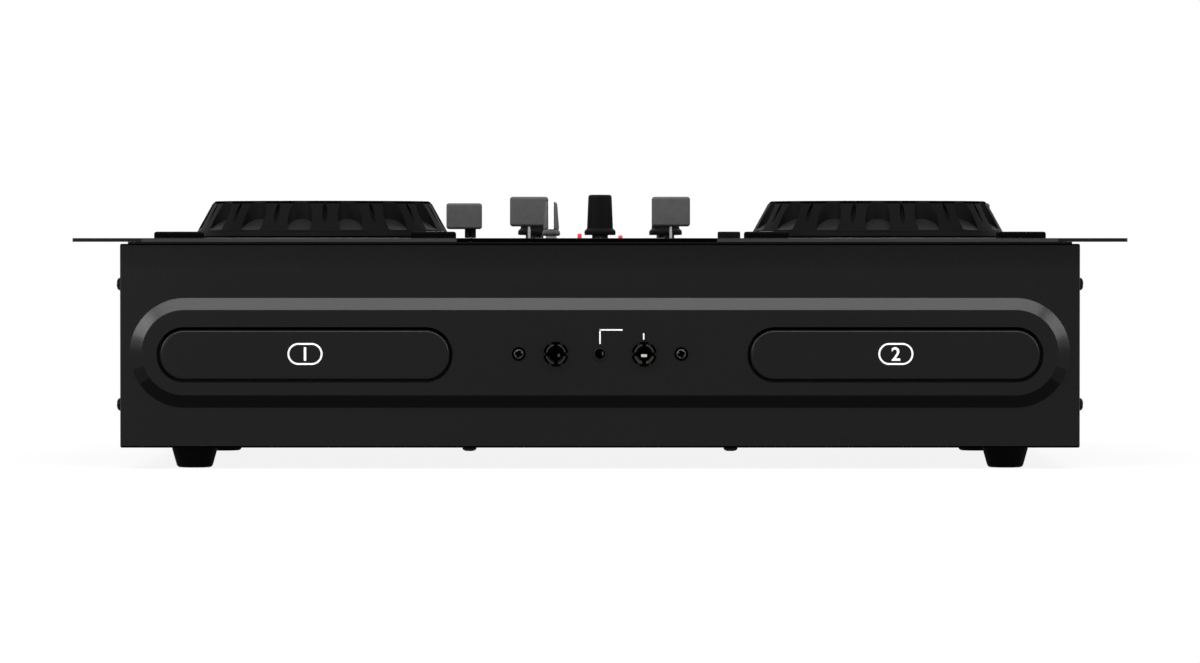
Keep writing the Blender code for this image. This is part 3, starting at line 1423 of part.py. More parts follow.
def main_board():
    def components(top, near):
        sink_y = near + MAIN_BOARD_LENGTH - 2 * HEAT_SINK_DEPTH
        sink = (HEAT_SINK_WIDTH, HEAT_SINK_DEPTH, HEAT_SINK_HEIGHT)
        solids = [box(sink, (CHIP_WIDTH, sink_y, top + HEAT_SINK_HEIGHT / 2))]
        for side, place_share in CHIP_PLACE_SHARES:
            middle = (side * CHIP_WIDTH, near + place_share * MAIN_BOARD_LENGTH, top + CHIP_HEIGHT / 2)
            solids.append(box((CHIP_WIDTH, CHIP_WIDTH, CHIP_HEIGHT), middle))
        return solids

    return lower_board("main_board", MAIN_BOARD_FRONT, MAIN_BOARD_LENGTH, components)


def power_supply():
    def components(top, near):
        middle = near + SUPPLY_LENGTH / 2
        x = (BAY_WIDTH - CORE_WIDTH) / 2 - 2 * PILLAR_RADIUS
        solids = [
            box((CORE_WIDTH, CORE_LENGTH, CORE_HEIGHT), (x, middle, top + CORE_HEIGHT / 2)),
            box((COIL_WIDTH, COIL_LENGTH, COIL_HEIGHT), (x, middle, top + CORE_HEIGHT / 2)),
        ]
        for hand in (LEFT, RIGHT):
            start = (RESERVOIR_PLACE_SHARE * BAY_WIDTH, middle + hand * RESERVOIR_PITCH / 2, top)
            solids.append(rod(RESERVOIR_RADIUS, start, RESERVOIR_HEIGHT))
        return solids

    return lower_board("power_supply", SUPPLY_FRONT, SUPPLY_LENGTH, components)


# Sockets

def front_jack(name, x, bush, bore, nut, nut_thickness, body_width, body_length, nut_sides):
    """A jack held in the front by its nut: its bore is open to the front."""
    z = FOOT_HEIGHT + JACK_HEIGHT
    nut_face = BAND_FACE - SEAT_GAP - nut_thickness
    inner = BAND_FACE + SHEET + SEAT_GAP
    solids = [
        box((body_width, body_length, body_width), (x, inner + body_length / 2, z)),
        rod(bush, (x, nut_face, z), inner - nut_face + JOIN, "Y"),
    ]
    if nut > bush:
        solids.append(rod(nut, (x, nut_face, z), nut_thickness, "Y", nut_sides))
    depth = inner + body_length - JACK_END_WALL - nut_face
    cuts = [rod(bore, (x, nut_face - OVERRUN, z), depth + OVERRUN, "Y", COARSE)]
    return node(name, black_plastic(), solids, cuts)


def front_jacks():
    large = (JACK_BUSH_RADIUS, JACK_BORE_RADIUS, JACK_NUT_RADIUS, JACK_NUT_THICKNESS)
    body = (JACK_BODY_WIDTH, JACK_BODY_LENGTH, ROUND)
    front_jack("mic_jack", -JACK_SPACING / 2, *large, *body)
    front_jack("phones_jack", JACK_SPACING / 2, *large, *body)
    small = (MINI_BUSH_RADIUS, MINI_BORE_RADIUS, MINI_BUSH_RADIUS, MINI_PROUD)
    front_jack("phones_mini_jack", 0, *small, MINI_BODY_WIDTH, MINI_BODY_LENGTH, COARSE)


def rca_bank():
    """Line inputs and outputs: pairs of round sockets on one moulding in the rear window."""
    x, z, width, height = rca_window()
    face = CASE_REAR - SHEET / 2
    inner = CASE_REAR - SHEET - SEAT_GAP
    gap = 2 * SEAT_GAP
    border = 2 * RCA_BACK_BORDER
    plug = (width - gap, face - inner + RCA_BLOCK_DEPTH, height - gap)
    solids = [
        box(plug, (x, (face + inner - RCA_BLOCK_DEPTH) / 2, z)),
        box((width + border, RCA_BLOCK_DEPTH, height + border), (x, inner - RCA_BLOCK_DEPTH / 2, z)),
    ]
    cuts = []
    for column in range(RCA_COLUMNS):
        across = x + (column - (RCA_COLUMNS - 1) / 2) * RCA_PITCH
        for row in (LEFT, RIGHT):
            start = (across, face - JOIN, z + row * RCA_ROW_PITCH / 2)
            solids.append(rod(RCA_COLLAR_RADIUS, start, JOIN + RCA_COLLAR_LENGTH, "Y", BORE))
            solids.append(rod(RCA_BARREL_RADIUS, start, JOIN + RCA_BARREL_LENGTH, "Y", BORE))
            cuts.append(rod(RCA_BORE_RADIUS, start, JOIN + RCA_BARREL_LENGTH + OVERRUN, "Y", PIN_SIDES))
    return node("rca_bank", black_plastic(), solids, cuts)


def power_inlet():
    """A mains inlet and the switch's housing in one moulding. The lead pulls out of it."""
    face = CASE_REAR + SEAT_GAP + INLET_PROUD
    _, _, window_width, window_height = inlet_window()
    gap = 2 * SEAT_GAP
    solids = [
        box((INLET_LENGTH, INLET_PROUD, INLET_WIDTH), (INLET_X, face - INLET_PROUD / 2, INLET_Z)),
        box(
            (window_width - gap, INLET_BODY_DEPTH, window_height - gap),
            (INLET_X, face - JOIN / 2 - INLET_BODY_DEPTH / 2, INLET_Z),
        ),
    ]
    floor = face - SOCKET_DEPTH
    middle = (SOCKET_X, face - SOCKET_DEPTH / 2 + OVERRUN / 2, INLET_Z)
    well = ROCKER_HEIGHT + RUN_GAP
    cuts = [
        rounded(
            (SOCKET_WIDTH - INLET_PROUD * 2, SOCKET_DEPTH + OVERRUN, SOCKET_HEIGHT),
            middle,
            SOCKET_CORNER,
            axis=1,
            segments=1,
            kept=lambda edge: edge.verts[0].co.z < INLET_Z,
        ),
        block(
            (ROCKER_X - ROCKER_WIDTH / 2 - RUN_GAP, face - well, INLET_Z - ROCKER_LENGTH / 2 - RUN_GAP),
            (ROCKER_X + ROCKER_WIDTH / 2 + RUN_GAP, face + OVERRUN, INLET_Z + ROCKER_LENGTH / 2 + RUN_GAP),
        ),
    ]
    studs = []
    for across, rise in ((-PIN_SPACING, 0), (0, PIN_STEP), (PIN_SPACING, 0)):
        centre = (SOCKET_X + across, floor - JOIN + (PIN_LENGTH + JOIN) / 2, INLET_Z + rise)
        studs.append(box((PIN_WIDTH, PIN_LENGTH + JOIN, PIN_HEIGHT), centre))
    return node("power_inlet", black_plastic(), solids, cuts, studs)


def power_switch():
    """The mains rocker, resting in its off position, on an axis along X."""
    face = CASE_REAR + SEAT_GAP + INLET_PROUD
    pivot = Vector((ROCKER_X, face - ROCKER_HEIGHT / 2, INLET_Z))
    tilt = math.radians(ROCKER_TILT)

    def section(x):
        points = []
        for along_share, out_share in ROCKER_OUTLINE_SHARES:
            along = along_share * ROCKER_LENGTH
            out = out_share * ROCKER_HEIGHT
            z = along * math.cos(tilt) + out * math.sin(tilt)
            y = out * math.cos(tilt) - along * math.sin(tilt)
            points.append((pivot.x + x, pivot.y + y, pivot.z + z))
        return points

    solids = [loft([section(-ROCKER_WIDTH / 2), section(ROCKER_WIDTH / 2)])]
    return node("power_switch", black_plastic(), solids, pivot=pivot)


def sockets():
    front_jacks()
    rca_bank()
    power_inlet()
    power_switch()


def main():
    clear_scene()
    chassis()
    top_plate()
    feet()
    disc_drives()
    controls()
    for side, label in SIDES:
        deck_board(side, label)
    mixer_board()
    main_board()
    power_supply()
    sockets()


main()
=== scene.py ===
"""Looks of a twin disc player with a mixer between its decks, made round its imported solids."""

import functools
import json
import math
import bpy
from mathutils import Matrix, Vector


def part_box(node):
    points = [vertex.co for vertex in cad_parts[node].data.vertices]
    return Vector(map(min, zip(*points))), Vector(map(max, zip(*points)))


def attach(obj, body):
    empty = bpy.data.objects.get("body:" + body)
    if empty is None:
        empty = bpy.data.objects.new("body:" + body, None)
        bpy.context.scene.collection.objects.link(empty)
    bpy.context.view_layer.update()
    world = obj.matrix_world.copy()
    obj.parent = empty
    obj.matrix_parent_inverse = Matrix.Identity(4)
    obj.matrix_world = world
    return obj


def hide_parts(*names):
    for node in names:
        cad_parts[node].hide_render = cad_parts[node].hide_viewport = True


bl_info = {
    "name": "Twin disc player",
    "version": (1, 0, 0),
    "blender": (4, 5, 0),
    "location": "View3D > Sidebar > Player",
    "description": "Makes the case, decks, mixer, sockets and studio of a twin disc player",
    "category": "Object",
}

import bmesh
import bpy
from mathutils import Matrix, Vector

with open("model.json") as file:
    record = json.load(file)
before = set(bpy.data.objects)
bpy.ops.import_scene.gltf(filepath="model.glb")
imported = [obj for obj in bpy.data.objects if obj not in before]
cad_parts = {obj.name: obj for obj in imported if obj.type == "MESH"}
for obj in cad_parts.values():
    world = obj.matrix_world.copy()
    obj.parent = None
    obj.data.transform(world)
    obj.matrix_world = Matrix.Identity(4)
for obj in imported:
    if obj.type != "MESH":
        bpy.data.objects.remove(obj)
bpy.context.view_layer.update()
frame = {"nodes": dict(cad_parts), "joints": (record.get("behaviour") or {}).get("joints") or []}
SIDES = ((-1, "left"), (1, "right"))


class Box:
    """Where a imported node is: its lowest and highest corners, its middle and its size."""

    def __init__(self, name):
        low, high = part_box(name)
        self.low, self.high = Vector(low), Vector(high)
        self.middle = (self.low + self.high) / 2
        self.size = self.high - self.low


CASE = Box("chassis")
PLATE = Box("top_plate")
PLATE_LIFT = 0.0004
TOP = PLATE.high.z + PLATE_LIFT
SLOT_WIDTH = 0.0036
SLOT_END = 0.0064
SLOT_CORNER = 0.0017
HOLE_PLAY = 0.0006
BOARD_UPPER = (0.0908, 0.09255)
BOARD_LOWER = (0.0171, 0.01885)


# Sizes and colours

def length(name, description, default):
    return bpy.props.FloatProperty(
        name=name, description=description, default=default, precision=5, unit="LENGTH"
    )


def tint(name, description, default):
    return bpy.props.FloatVectorProperty(
        name=name, description=description, default=default, size=3, subtype="COLOR", min=0, max=1
    )


class PlayerSizes(bpy.types.PropertyGroup):
    sheet: length("Sheet", "Thickness of the case's steel sheet", 0.0012)
    case_edge: length("Case edge", "Bend radius of the case", 0.0008)
    plate_edge: length("Plate edge", "Rounding of the top plate's edges", 0.00012)
    band_height: length("Band height", "Height of the raised front band", 0.0509)
    band_rise: length("Band rise", "How far the band stands out", 0.0035)
    band_slope: length("Band slope", "Width of the band's sloping rim", 0.0062)
    door_gap: length("Door gap", "Gap round each tray door", 0.0011)
    door_edge: length("Door edge", "Rounding of the tray doors", 0.0018)
    badge_width: length("Badge width", "Width of the printed deck number's outline", 0.0160)
    badge_height: length("Badge height", "Height of the printed deck number's outline", 0.0100)
    hollow_radius: length("Hollow radius", "Radius of the jog wheels' finger hollows", 0.0057)
    hollow_depth: length("Hollow depth", "Depth of the finger hollows at the top", 0.0010)
    groove_radius: length("Groove radius", "Radius of the groove in each of the wheels' ribs", 0.0011)
    groove_depth: length("Groove depth", "Depth of the ribs' grooves at the top", 0.0025)
    pad_edge: length("Pad edge", "Rounding of the pads", 0.0011)
    key_edge: length("Key edge", "Rounding of the small keys", 0.0006)
    cap_edge: length("Cap edge", "Rounding of the fader caps", 0.0013)
    line: length("Line", "Width of printed lines", 0.0004)
    ink: length("Ink", "Thickness of the print", 0.00005)
    numeral: length("Numeral", "Height of the printed scale numbers", 0.0022)
    lens_width: length("Lens width", "Width of a level lamp", 0.0018)
    lens_depth: length("Lens depth", "Depth of a level lamp", 0.0018)
    lens_rise: length("Lens rise", "How far a level lamp stands out", 0.0014)
    screw_radius: length("Screw radius", "Radius of the case's screw heads", 0.00295)
    screw_height: length("Screw height", "Height of the case's screw heads", 0.0021)


class PlayerColours(bpy.types.PropertyGroup):
    coat: tint("Coat", "Powder coat of the case and plate", (0.0028, 0.0028, 0.0030))
    moulding: tint("Moulding", "Black plastic of keys and knobs", (0.0030, 0.0030, 0.0032))
    wheel: tint("Wheel", "Dark grey plastic of the jog wheels", (0.0090, 0.0090, 0.0094))
    cap: tint("Cap", "Grey plastic of the fader caps", (0.0520, 0.0520, 0.0530))
    rubber: tint("Rubber", "Rubber of the feet", (0.0016, 0.0016, 0.0016))
    steel: tint("Steel", "Bare steel", (0.5200, 0.5150, 0.5000))
    nickel: tint("Nickel", "Plated contacts and screws", (0.6200, 0.6000, 0.5600))
    blackened: tint("Blackened", "Blackened screws", (0.0280, 0.0280, 0.0290))
    ink: tint("Ink", "Printed lines", (0.7200, 0.7200, 0.7000))
    lamp: tint("Lamp", "Level lamps", (0.6000, 0.0150, 0.0300))
    amber: tint("Amber", "Cue lamps", (0.6500, 0.1900, 0.0150))
    green: tint("Green", "Play lamps", (0.0400, 0.4200, 0.0900))
    glass: tint("Glass", "Display windows", (0.0050, 0.0060, 0.0080))
    crystal: tint("Crystal", "Display ground", (0.0350, 0.0450, 0.0400))
    laminate: tint("Laminate", "Circuit boards", (0.0100, 0.0750, 0.0300))
    part_black: tint("Part black", "Components on the boards", (0.0130, 0.0130, 0.0140))
    white_ring: tint("White ring", "Insulators of the left sockets", (0.6500, 0.6400, 0.6000))
    red_ring: tint("Red ring", "Insulators of the right sockets", (0.4500, 0.0160, 0.0160))
    floor: tint("Floor", "Studio floor", (0.8200, 0.8200, 0.8200))


def sizes():
    return bpy.context.scene.player_sizes


def colours():
    return bpy.context.scene.player_colours


# Shader sums

class Term:
    """What a node gives out, so that a sum in Python adds its Math nodes."""

    def __init__(self, finish, socket):
        self.finish, self.socket = finish, socket

    def math(self, operation, *terms):
        return self.finish.node("ShaderNodeMath", {"operation": operation}, dict(enumerate(terms)))

    def __add__(self, other):
        return self.math("ADD", self, other)

    def __radd__(self, other):
        return self.math("ADD", other, self)

    def __sub__(self, other):
        return self.math("SUBTRACT", self, other)

    def __rsub__(self, other):
        return self.math("SUBTRACT", other, self)

    def __mul__(self, other):
        return self.math("MULTIPLY", self, other)

    def __rmul__(self, other):
        return self.math("MULTIPLY", other, self)

    def __truediv__(self, other):
        return self.math("DIVIDE", self, other)

    def __rtruediv__(self, other):
        return self.math("DIVIDE", other, self)

    def __pow__(self, other):
        return self.math("POWER", self, other)

    def __mod__(self, other):
        return self.math("FLOORED_MODULO", self, other)

    def __gt__(self, other):
        return self.math("GREATER_THAN", self, other)

    def __lt__(self, other):
        return self.math("LESS_THAN", self, other)


class Finish:
    """A material, built up by Python sums on its sockets."""

    def __init__(self, name, fixed):
        self.material = bpy.data.materials.new(name)
        self.material.use_nodes = True
        self.nodes = self.material.node_tree.nodes
        self.links = self.material.node_tree.links
        self.shader = self.nodes["Principled BSDF"]
        for socket, value in fixed.items():
            self.shader.inputs[socket].default_value = value

    def node(self, kind, settings=None, inputs=None, output=0):
        made = self.nodes.new(kind)
        for key, value in (settings or {}).items():
            if key == "stops":
                ramp = made.color_ramp.elements
                while len(ramp) < len(value):
                    ramp.new(1)
                for element, (place, colour) in zip(ramp, value):
                    element.position, element.color = place, (*colour, 1)
            else:
                setattr(made, key, value)
        for key, value in (inputs or {}).items():
            if isinstance(value, Term):
                self.links.new(value.socket, made.inputs[key])
            else:
                made.inputs[key].default_value = value
        return Term(self, made.outputs[output])

    def place(self):
        return self.node("ShaderNodeTexCoord", output="Object")

    def axes(self, place):
        split = self.node("ShaderNodeSeparateXYZ", None, {0: place})
        return [Term(self, split.socket.node.outputs[axis]) for axis in "XYZ"]

    def stretched(self, place, scale):
        return self.node("ShaderNodeMapping", {"vector_type": "POINT"}, {"Vector": place, "Scale": scale})

    def noise(self, place, scale, detail=2.0, rough=0.5):
        inputs = {"Vector": place, "Scale": scale, "Detail": detail, "Roughness": rough}
        return self.node("ShaderNodeTexNoise", {"noise_dimensions": "3D"}, inputs)

    def cells(self, place, scale, feature="F1", randomness=1.0):
        inputs = {"Vector": place, "Scale": scale, "Randomness": randomness}
        return self.node("ShaderNodeTexVoronoi", {"feature": feature}, inputs)

    def spread(self, term, low, high, to_low=0.0, to_high=1.0):
        inputs = {"Value": term, 1: low, 2: high, 3: to_low, 4: to_high}
        return self.node("ShaderNodeMapRange", {"interpolation_type": "SMOOTHSTEP"}, inputs)

    def between(self, share, first, second):
        first, second = (c if isinstance(c, Term) else (*c, 1) for c in (first, second))
        inputs = {0: share, 6: first, 7: second}
        return self.node("ShaderNodeMix", {"data_type": "RGBA", "clamp_factor": True}, inputs, 2)

    def tone(self, share, colour, dark, light):
        """Gives the surface a colour between two shades of one."""
        self.drive("Base Color", self.between(share, shaded(colour, dark), shaded(colour, light)))

    def bump(self, height, depth, strength=1.0):
        inputs = {"Height": height, "Distance": depth, "Strength": strength}
        self.drive("Normal", self.node("ShaderNodeBump", None, inputs))

    def drive(self, socket, term):
        if isinstance(term, Term):
            self.links.new(term.socket, self.shader.inputs[socket])
        else:
            self.shader.inputs[socket].default_value = term


def shaded(colour, factor):
    return tuple(min(1.0, part * factor) for part in colour)


# Finishes

@functools.cache
def powder_coat():
    """Satin black powder coat: a fine pebble grain with slow changes of gloss."""
    finish = Finish("powder_coat", {"Specular IOR Level": 0.12})
    place = finish.place()
    pebble = finish.cells(place, 1500)
    fine = finish.noise(place, 3800, 2.0)
    slow = finish.noise(place, 14, 3.0)
    ink = colours().coat
    tone = finish.between(fine, shaded(ink, 0.75), shaded(ink, 1.25))
    finish.drive("Base Color", finish.between(slow * 0.5, tone, shaded(ink, 1.5)))
    finish.drive("Roughness", 0.19 + 0.03 * fine + 0.02 * slow)
    finish.bump(1 - pebble + 0.4 * fine, 0.00001, 0.25)
    return finish.material


@functools.cache
def coat_painted_shade(share):
    """Painted shade: the coat darkened by a share, with fewer reflections, for the lower slope that faces the
    floor, to match the photograph.
    """
    finish = Finish(f"coat_painted_shade_{round(share * 100)}", {"Specular IOR Level": 0.12 * share})
    place = finish.place()
    pebble = finish.cells(place, 1500)
    fine = finish.noise(place, 3800, 2.0)
    ink = shaded(colours().coat, share)
    finish.tone(fine, ink, 0.75, 1.25)
    finish.drive("Roughness", 0.22 + 0.05 * fine)
    finish.bump(1 - pebble + 0.4 * fine, 0.00001, 0.25)
    return finish.material


@functools.cache
def moulding():
    """Black moulded plastic with the fine etched grain of keys and knobs."""
    finish = Finish("black_moulding", {"Specular IOR Level": 0.12})
    place = finish.place()
    grain = finish.noise(place, 5200, 2.0)
    slow = finish.noise(place, 40, 2.0)
    ink = colours().moulding
    finish.tone(slow, ink, 0.85, 1.3)
    finish.drive("Roughness", 0.46 + 0.14 * grain)
    finish.bump(grain, 0.00002, 0.4)
    return finish.material


@functools.cache
def key_rubber():
    """Dull black rubber of the pads, keys and knobs, with a fine skin."""
    finish = Finish("key_rubber", {"Specular IOR Level": 0.05})
    place = finish.place()
    skin = finish.noise(place, 4200, 3.0, 0.6)
    worn = finish.noise(place, 70, 2.0)
    ink = colours().moulding
    finish.tone(worn, ink, 0.6, 1.0)
    finish.drive("Roughness", 0.48 + 0.18 * skin)
    finish.bump(skin, 0.00003, 0.5)
    return finish.material


@functools.cache
def pad_rubber():
    """The dead black silicone of the large pads."""
    finish = Finish("pad_rubber", {"Specular IOR Level": 0.02})
    place = finish.place()
    skin = finish.noise(place, 3600, 3.0, 0.6)
    ink = colours().moulding
    finish.tone(skin, ink, 0.15, 0.35)
    finish.drive("Roughness", 0.52 + 0.16 * skin)
    finish.bump(skin, 0.00003, 0.5)
    return finish.material


@functools.cache
def frame_moulding():
    """The dull black plastic of the disc drives, with faint flow lines."""
    finish = Finish("frame_moulding", {"Specular IOR Level": 0.2})
    place = finish.place()
    flow = finish.noise(finish.stretched(place, (40, 6, 40)), 4, 4.0)
    grain = finish.noise(place, 2600, 2.0)
    ink = colours().moulding
    finish.tone(flow, ink, 0.9, 2.2)
    finish.drive("Roughness", 0.46 + 0.16 * flow)
    finish.bump(grain, 0.00002, 0.5)
    return finish.material


@functools.cache
def wheel_grip(share=1.0):
    """Dark grey plastic of the jog wheels, finely grained, made lighter or darker by a share as painted light
    and shade.
    """
    finish = Finish(f"wheel_grip_{round(share * 100)}", {"Specular IOR Level": 0.02})
    place = finish.place()
    grain = finish.noise(place, 3000, 2.0)
    slow = finish.noise(place, 55, 3.0)
    ink = colours().wheel
    finish.tone(slow, ink, 0.28 * share, 0.48 * share)
    finish.drive("Roughness", 0.40 + 0.14 * grain)
    finish.bump(grain, 0.00002, 0.4)
    return finish.material


@functools.cache
def wheel_ledge():
    """Painted light: the same plastic, lighter, for the upward ledges under the hollows, to match the
    photograph.
    """
    finish = Finish("wheel_ledge", {"Specular IOR Level": 0.08})
    place = finish.place()
    wear_and_sheen = finish.noise(place, 240, 3.0)
    ink = colours().wheel
    finish.tone(wear_and_sheen, ink, 0.85, 1.15)
    finish.drive("Roughness", 0.50 + 0.12 * wear_and_sheen)
    return finish.material


@functools.cache
def deep_black():
    """Dead black of nuts, and painted shade in recesses and on the strips, bends and rims that are darkest in
    the photograph.
    """
    finish = Finish("deep_black", {"Specular IOR Level": 0.0})
    dust = finish.noise(finish.place(), 900, 3.0)
    ink = colours().moulding
    finish.tone(dust, ink, 0.10, 0.25)
    finish.drive("Roughness", 0.60 + 0.20 * dust)
    return finish.material


@functools.cache
def edge_sheen():
    """Painted highlight: the lighter strips on the plate's front edge, set to match the photograph."""
    finish = Finish("edge_sheen", {"Specular IOR Level": 0.2})
    place = finish.place()
    wear_and_sheen = finish.noise(finish.stretched(place, (6, 40, 40)), 8, 3.0)
    ink = colours().coat
    finish.tone(wear_and_sheen, ink, 4.0, 7.0)
    finish.drive("Roughness", 0.36 + 0.12 * wear_and_sheen)
    return finish.material


@functools.cache
def wheel_top(side):
    """The wheel's top plate, turned with fine rings round its own middle."""
    finish = Finish("wheel_top_" + ("left" if side < 0 else "right"), {"Specular IOR Level": 0.3})
    middle_x, middle_y = wheel_centre(side)
    x, y, _ = finish.axes(finish.place())
    across, along = x - middle_x, y - middle_y
    radius = (across * across + along * along) ** 0.5
    ring = radius.math("SINE", radius * (2 * math.pi / 0.0009))
    fine = finish.noise(finish.place(), 900, 2.0)
    ink = colours().wheel
    finish.tone(fine, ink, 0.4, 0.65)
    finish.drive("Roughness", 0.30 + 0.05 * ring + 0.1 * fine)
    finish.bump(ring, 0.00002, 0.6)
    return finish.material


@functools.cache
def cap_plastic():
    """Grey plastic of the fader caps: faintly mottled, rubbed smoother in patches."""
    finish = Finish("cap_plastic", {"Specular IOR Level": 0.25})
    place = finish.place()
    mottle = finish.noise(place, 420, 3.0)
    wear_and_sheen = finish.noise(place, 90, 2.0)
    ink = colours().cap
    finish.tone(mottle, ink, 0.78, 1.25)
    finish.drive("Roughness", 0.44 + 0.2 * wear_and_sheen)
    finish.bump(finish.noise(place, 3600, 2.0), 0.00002, 0.4)
    return finish.material


@functools.cache
def foot_rubber():
    finish = Finish("foot_rubber", {"Specular IOR Level": 0.03})
    place = finish.place()
    crumb = finish.noise(place, 1600, 4.0, 0.65)
    ink = colours().rubber
    finish.tone(crumb, ink, 0.7, 1.5)
    finish.drive("Roughness", 0.66 + 0.22 * crumb)
    finish.bump(crumb, 0.00006, 0.7)
    return finish.material


def metal(name, colour, rough, scale):
    """A metal with fine drawn lines and a little cloudiness."""
    finish = Finish(name, {"Metallic": 1.0})
    place = finish.place()
    drawn = finish.noise(finish.stretched(place, scale), 60, 3.0)
    cloud = finish.noise(place, 120, 3.0)
    finish.tone(cloud, colour, 0.8, 1.1)
    finish.drive("Roughness", rough + 0.16 * drawn)
    finish.bump(drawn, 0.00001, 0.5)
    return finish.material


@functools.cache
def steel():
    return metal("steel", colours().steel, 0.26, (4, 40, 40))


@functools.cache
def nickel():
    return metal("nickel", colours().nickel, 0.16, (20, 20, 20))


@functools.cache
def blackened():
    return metal("blackened_steel", colours().blackened, 0.34, (20, 20, 20))


@functools.cache
def collar_metal():
    """Dark plated steel of the jacks' collars and the screws beside them."""
    return metal("collar_steel", shaded(colours().nickel, 0.10), 0.30, (20, 20, 20))


@functools.cache
def ink():
    """Screen print, a little uneven in its cover."""
    finish = Finish("screen_print", {"Specular IOR Level": 0.4})
    cover = finish.noise(finish.place(), 1800, 3.0)
    white = colours().ink
    finish.tone(cover, white, 0.85, 1.05)
    finish.drive("Roughness", 0.42 + 0.15 * cover)
    return finish.material


def lens(name, colour, glow):
    """A tinted lamp lens that still shows a little light."""
    finish = Finish(name, {"Emission Strength": glow, "Coat Roughness": 0.08})
    place = finish.place()
    depth = finish.noise(place, 700, 2.0)
    tone = finish.between(depth, shaded(colour, 0.6), shaded(colour, 1.15))
    finish.drive("Base Color", tone)
    finish.drive("Emission Color", tone)
    finish.drive("Roughness", 0.18 + 0.1 * depth)
    finish.drive("Coat Weight", 0.5)
    return finish.material


@functools.cache
def lamp_red():
    return lens("lamp_red", colours().lamp, 0.45)


@functools.cache
def lamp_amber():
    return lens("lamp_amber", colours().amber, 0.12)


@functools.cache
def lamp_green():
    return lens("lamp_green", colours().green, 0.12)


@functools.cache
def dark_glass():
    finish = Finish("dark_glass", {"Coat Roughness": 0.04})
    smear = finish.noise(finish.place(), 30, 4.0)
    glass = colours().glass
    finish.tone(smear, glass, 0.8, 1.2)
    finish.drive("Roughness", 0.08 + 0.1 * smear)
    finish.drive("Coat Weight", 0.4)
    return finish.material


@functools.cache
def crystal():
    """The ground of a display: a fine grid of cells under its film."""
    finish = Finish("display_ground", {"Specular IOR Level": 0.4})
    x, y, _ = finish.axes(finish.place())
    grid = x.math("MAXIMUM", (x * 2500) % 1 < 0.12, (y * 2500) % 1 < 0.12)
    ground = colours().crystal
    finish.drive("Base Color", finish.between(grid, ground, shaded(ground, 0.7)))
    finish.drive("Roughness", 0.22 + 0.1 * finish.noise(finish.place(), 60, 2.0))
    return finish.material


@functools.cache
def segment():
    finish = Finish("display_segment", {"Specular IOR Level": 0.3})
    fade = finish.noise(finish.place(), 900, 2.0)
    ground = colours().crystal
    finish.tone(fade, ground, 0.25, 0.4)
    finish.drive("Roughness", 0.3 + 0.1 * fade)
    return finish.material


@functools.cache
def badge_white():
    finish = Finish("badge_white", {"Specular IOR Level": 0.4})
    cover = finish.noise(finish.place(), 1500, 3.0)
    finish.drive("Base Color", finish.between(cover, (0.68, 0.68, 0.67), (0.82, 0.82, 0.81)))
    finish.drive("Roughness", 0.4 + 0.15 * cover)
    return finish.material


def insulator(name, colour):
    finish = Finish(name, {"Specular IOR Level": 0.5})
    mottle = finish.noise(finish.place(), 900, 2.0)
    finish.tone(mottle, colour, 0.85, 1.1)
    finish.drive("Roughness", 0.3 + 0.15 * mottle)
    return finish.material


@functools.cache
def white_ring():
    return insulator("insulator_white", colours().white_ring)


@functools.cache
def red_ring():
    return insulator("insulator_red", colours().red_ring)


@functools.cache
def laminate(low, high):
    """A circuit board: green with fine tracks between two heights, and dark components outside them."""
    finish = Finish(f"laminate_{round(high * 100000)}", {"Specular IOR Level": 0.45})
    place = finish.place()
    x, y, z = finish.axes(place)
    bend = finish.noise(place, 60, 1.0)
    across = ((x + bend * 0.02) * 420) % 1
    along = ((y + bend * 0.02) * 420) % 1
    patch = finish.cells(place, 55)
    tracks = (across < 0.3) * (patch > 0.35) + (along < 0.3) * (patch < 0.35)
    green = colours().laminate
    top = finish.between(tracks, green, shaded(green, 1.7))
    board = (z > low) * (z < high)
    black = colours().part_black
    dark = finish.between(finish.noise(place, 300, 2.0), black, shaded(black, 2.5))
    finish.drive("Base Color", finish.between(board, dark, top))
    finish.drive("Roughness", 0.45 - 0.12 * board + 0.1 * finish.noise(place, 1500, 2.0))
    finish.bump(tracks * board, 0.00004, 0.6)
    return finish.material


# Shapes

def soften(bm, width, segments=2, kept=None, angle=30):
    """Rounds the edges that turn more than an angle, apart from the kept ones."""
    bmesh.ops.recalc_face_normals(bm, faces=bm.faces)
    limit = math.radians(angle)
    edges = [
        edge for edge in bm.edges
        if edge.is_manifold and edge.calc_face_angle(0) > limit and not (kept and kept(edge))
    ]
    bmesh.ops.bevel(
        bm, geom=edges, offset=width, offset_type="OFFSET", affect="EDGES", segments=segments,
        profile=0.5, clamp_overlap=True, material=-1,
    )
    return bm


def block(low, high, edge=0.0, segments=2, kept=None):
    """A block between two corners, with its edges rounded."""
    low, high = Vector(low), Vector(high)
    bm = bmesh.new()
    bmesh.ops.create_cube(bm, size=1)
    bmesh.ops.scale(bm, vec=high - low, verts=bm.verts)
    bmesh.ops.translate(bm, vec=(low + high) / 2, verts=bm.verts)
    return soften(bm, edge, segments, kept) if edge else bm


def slab(centre, size, edge=0.0, segments=2, kept=None):
    centre, half = Vector(centre), Vector(size) / 2
    return block(centre - half, centre + half, edge, segments, kept)


def turn_to(axis):
    """The turn that lays +Z along an axis, given as a letter with an optional minus."""
    turns = {
        "Z": (0, "X"), "-Z": (180, "X"), "Y": (-90, "X"), "-Y": (90, "X"), "X": (90, "Y"), "-X": (-90, "Y"),
    }
    angle, about = turns[axis]
    return Matrix.Rotation(math.radians(angle), 4, about)


def rod(radius, start, reach, axis="Z", sides=48, edge=0.0, end_radius=None):
    """A round bar from a start, along an axis."""
    bm = bmesh.new()
    bmesh.ops.create_cone(
        bm, cap_ends=True, segments=sides, radius1=radius,
        radius2=radius if end_radius is None else end_radius, depth=reach,
        matrix=Matrix.Translation((0, 0, reach / 2)),
    )
    bmesh.ops.transform(bm, matrix=Matrix.Translation(start) @ turn_to(axis), verts=bm.verts)
    return soften(bm, edge, 2, angle=50) if edge else bm


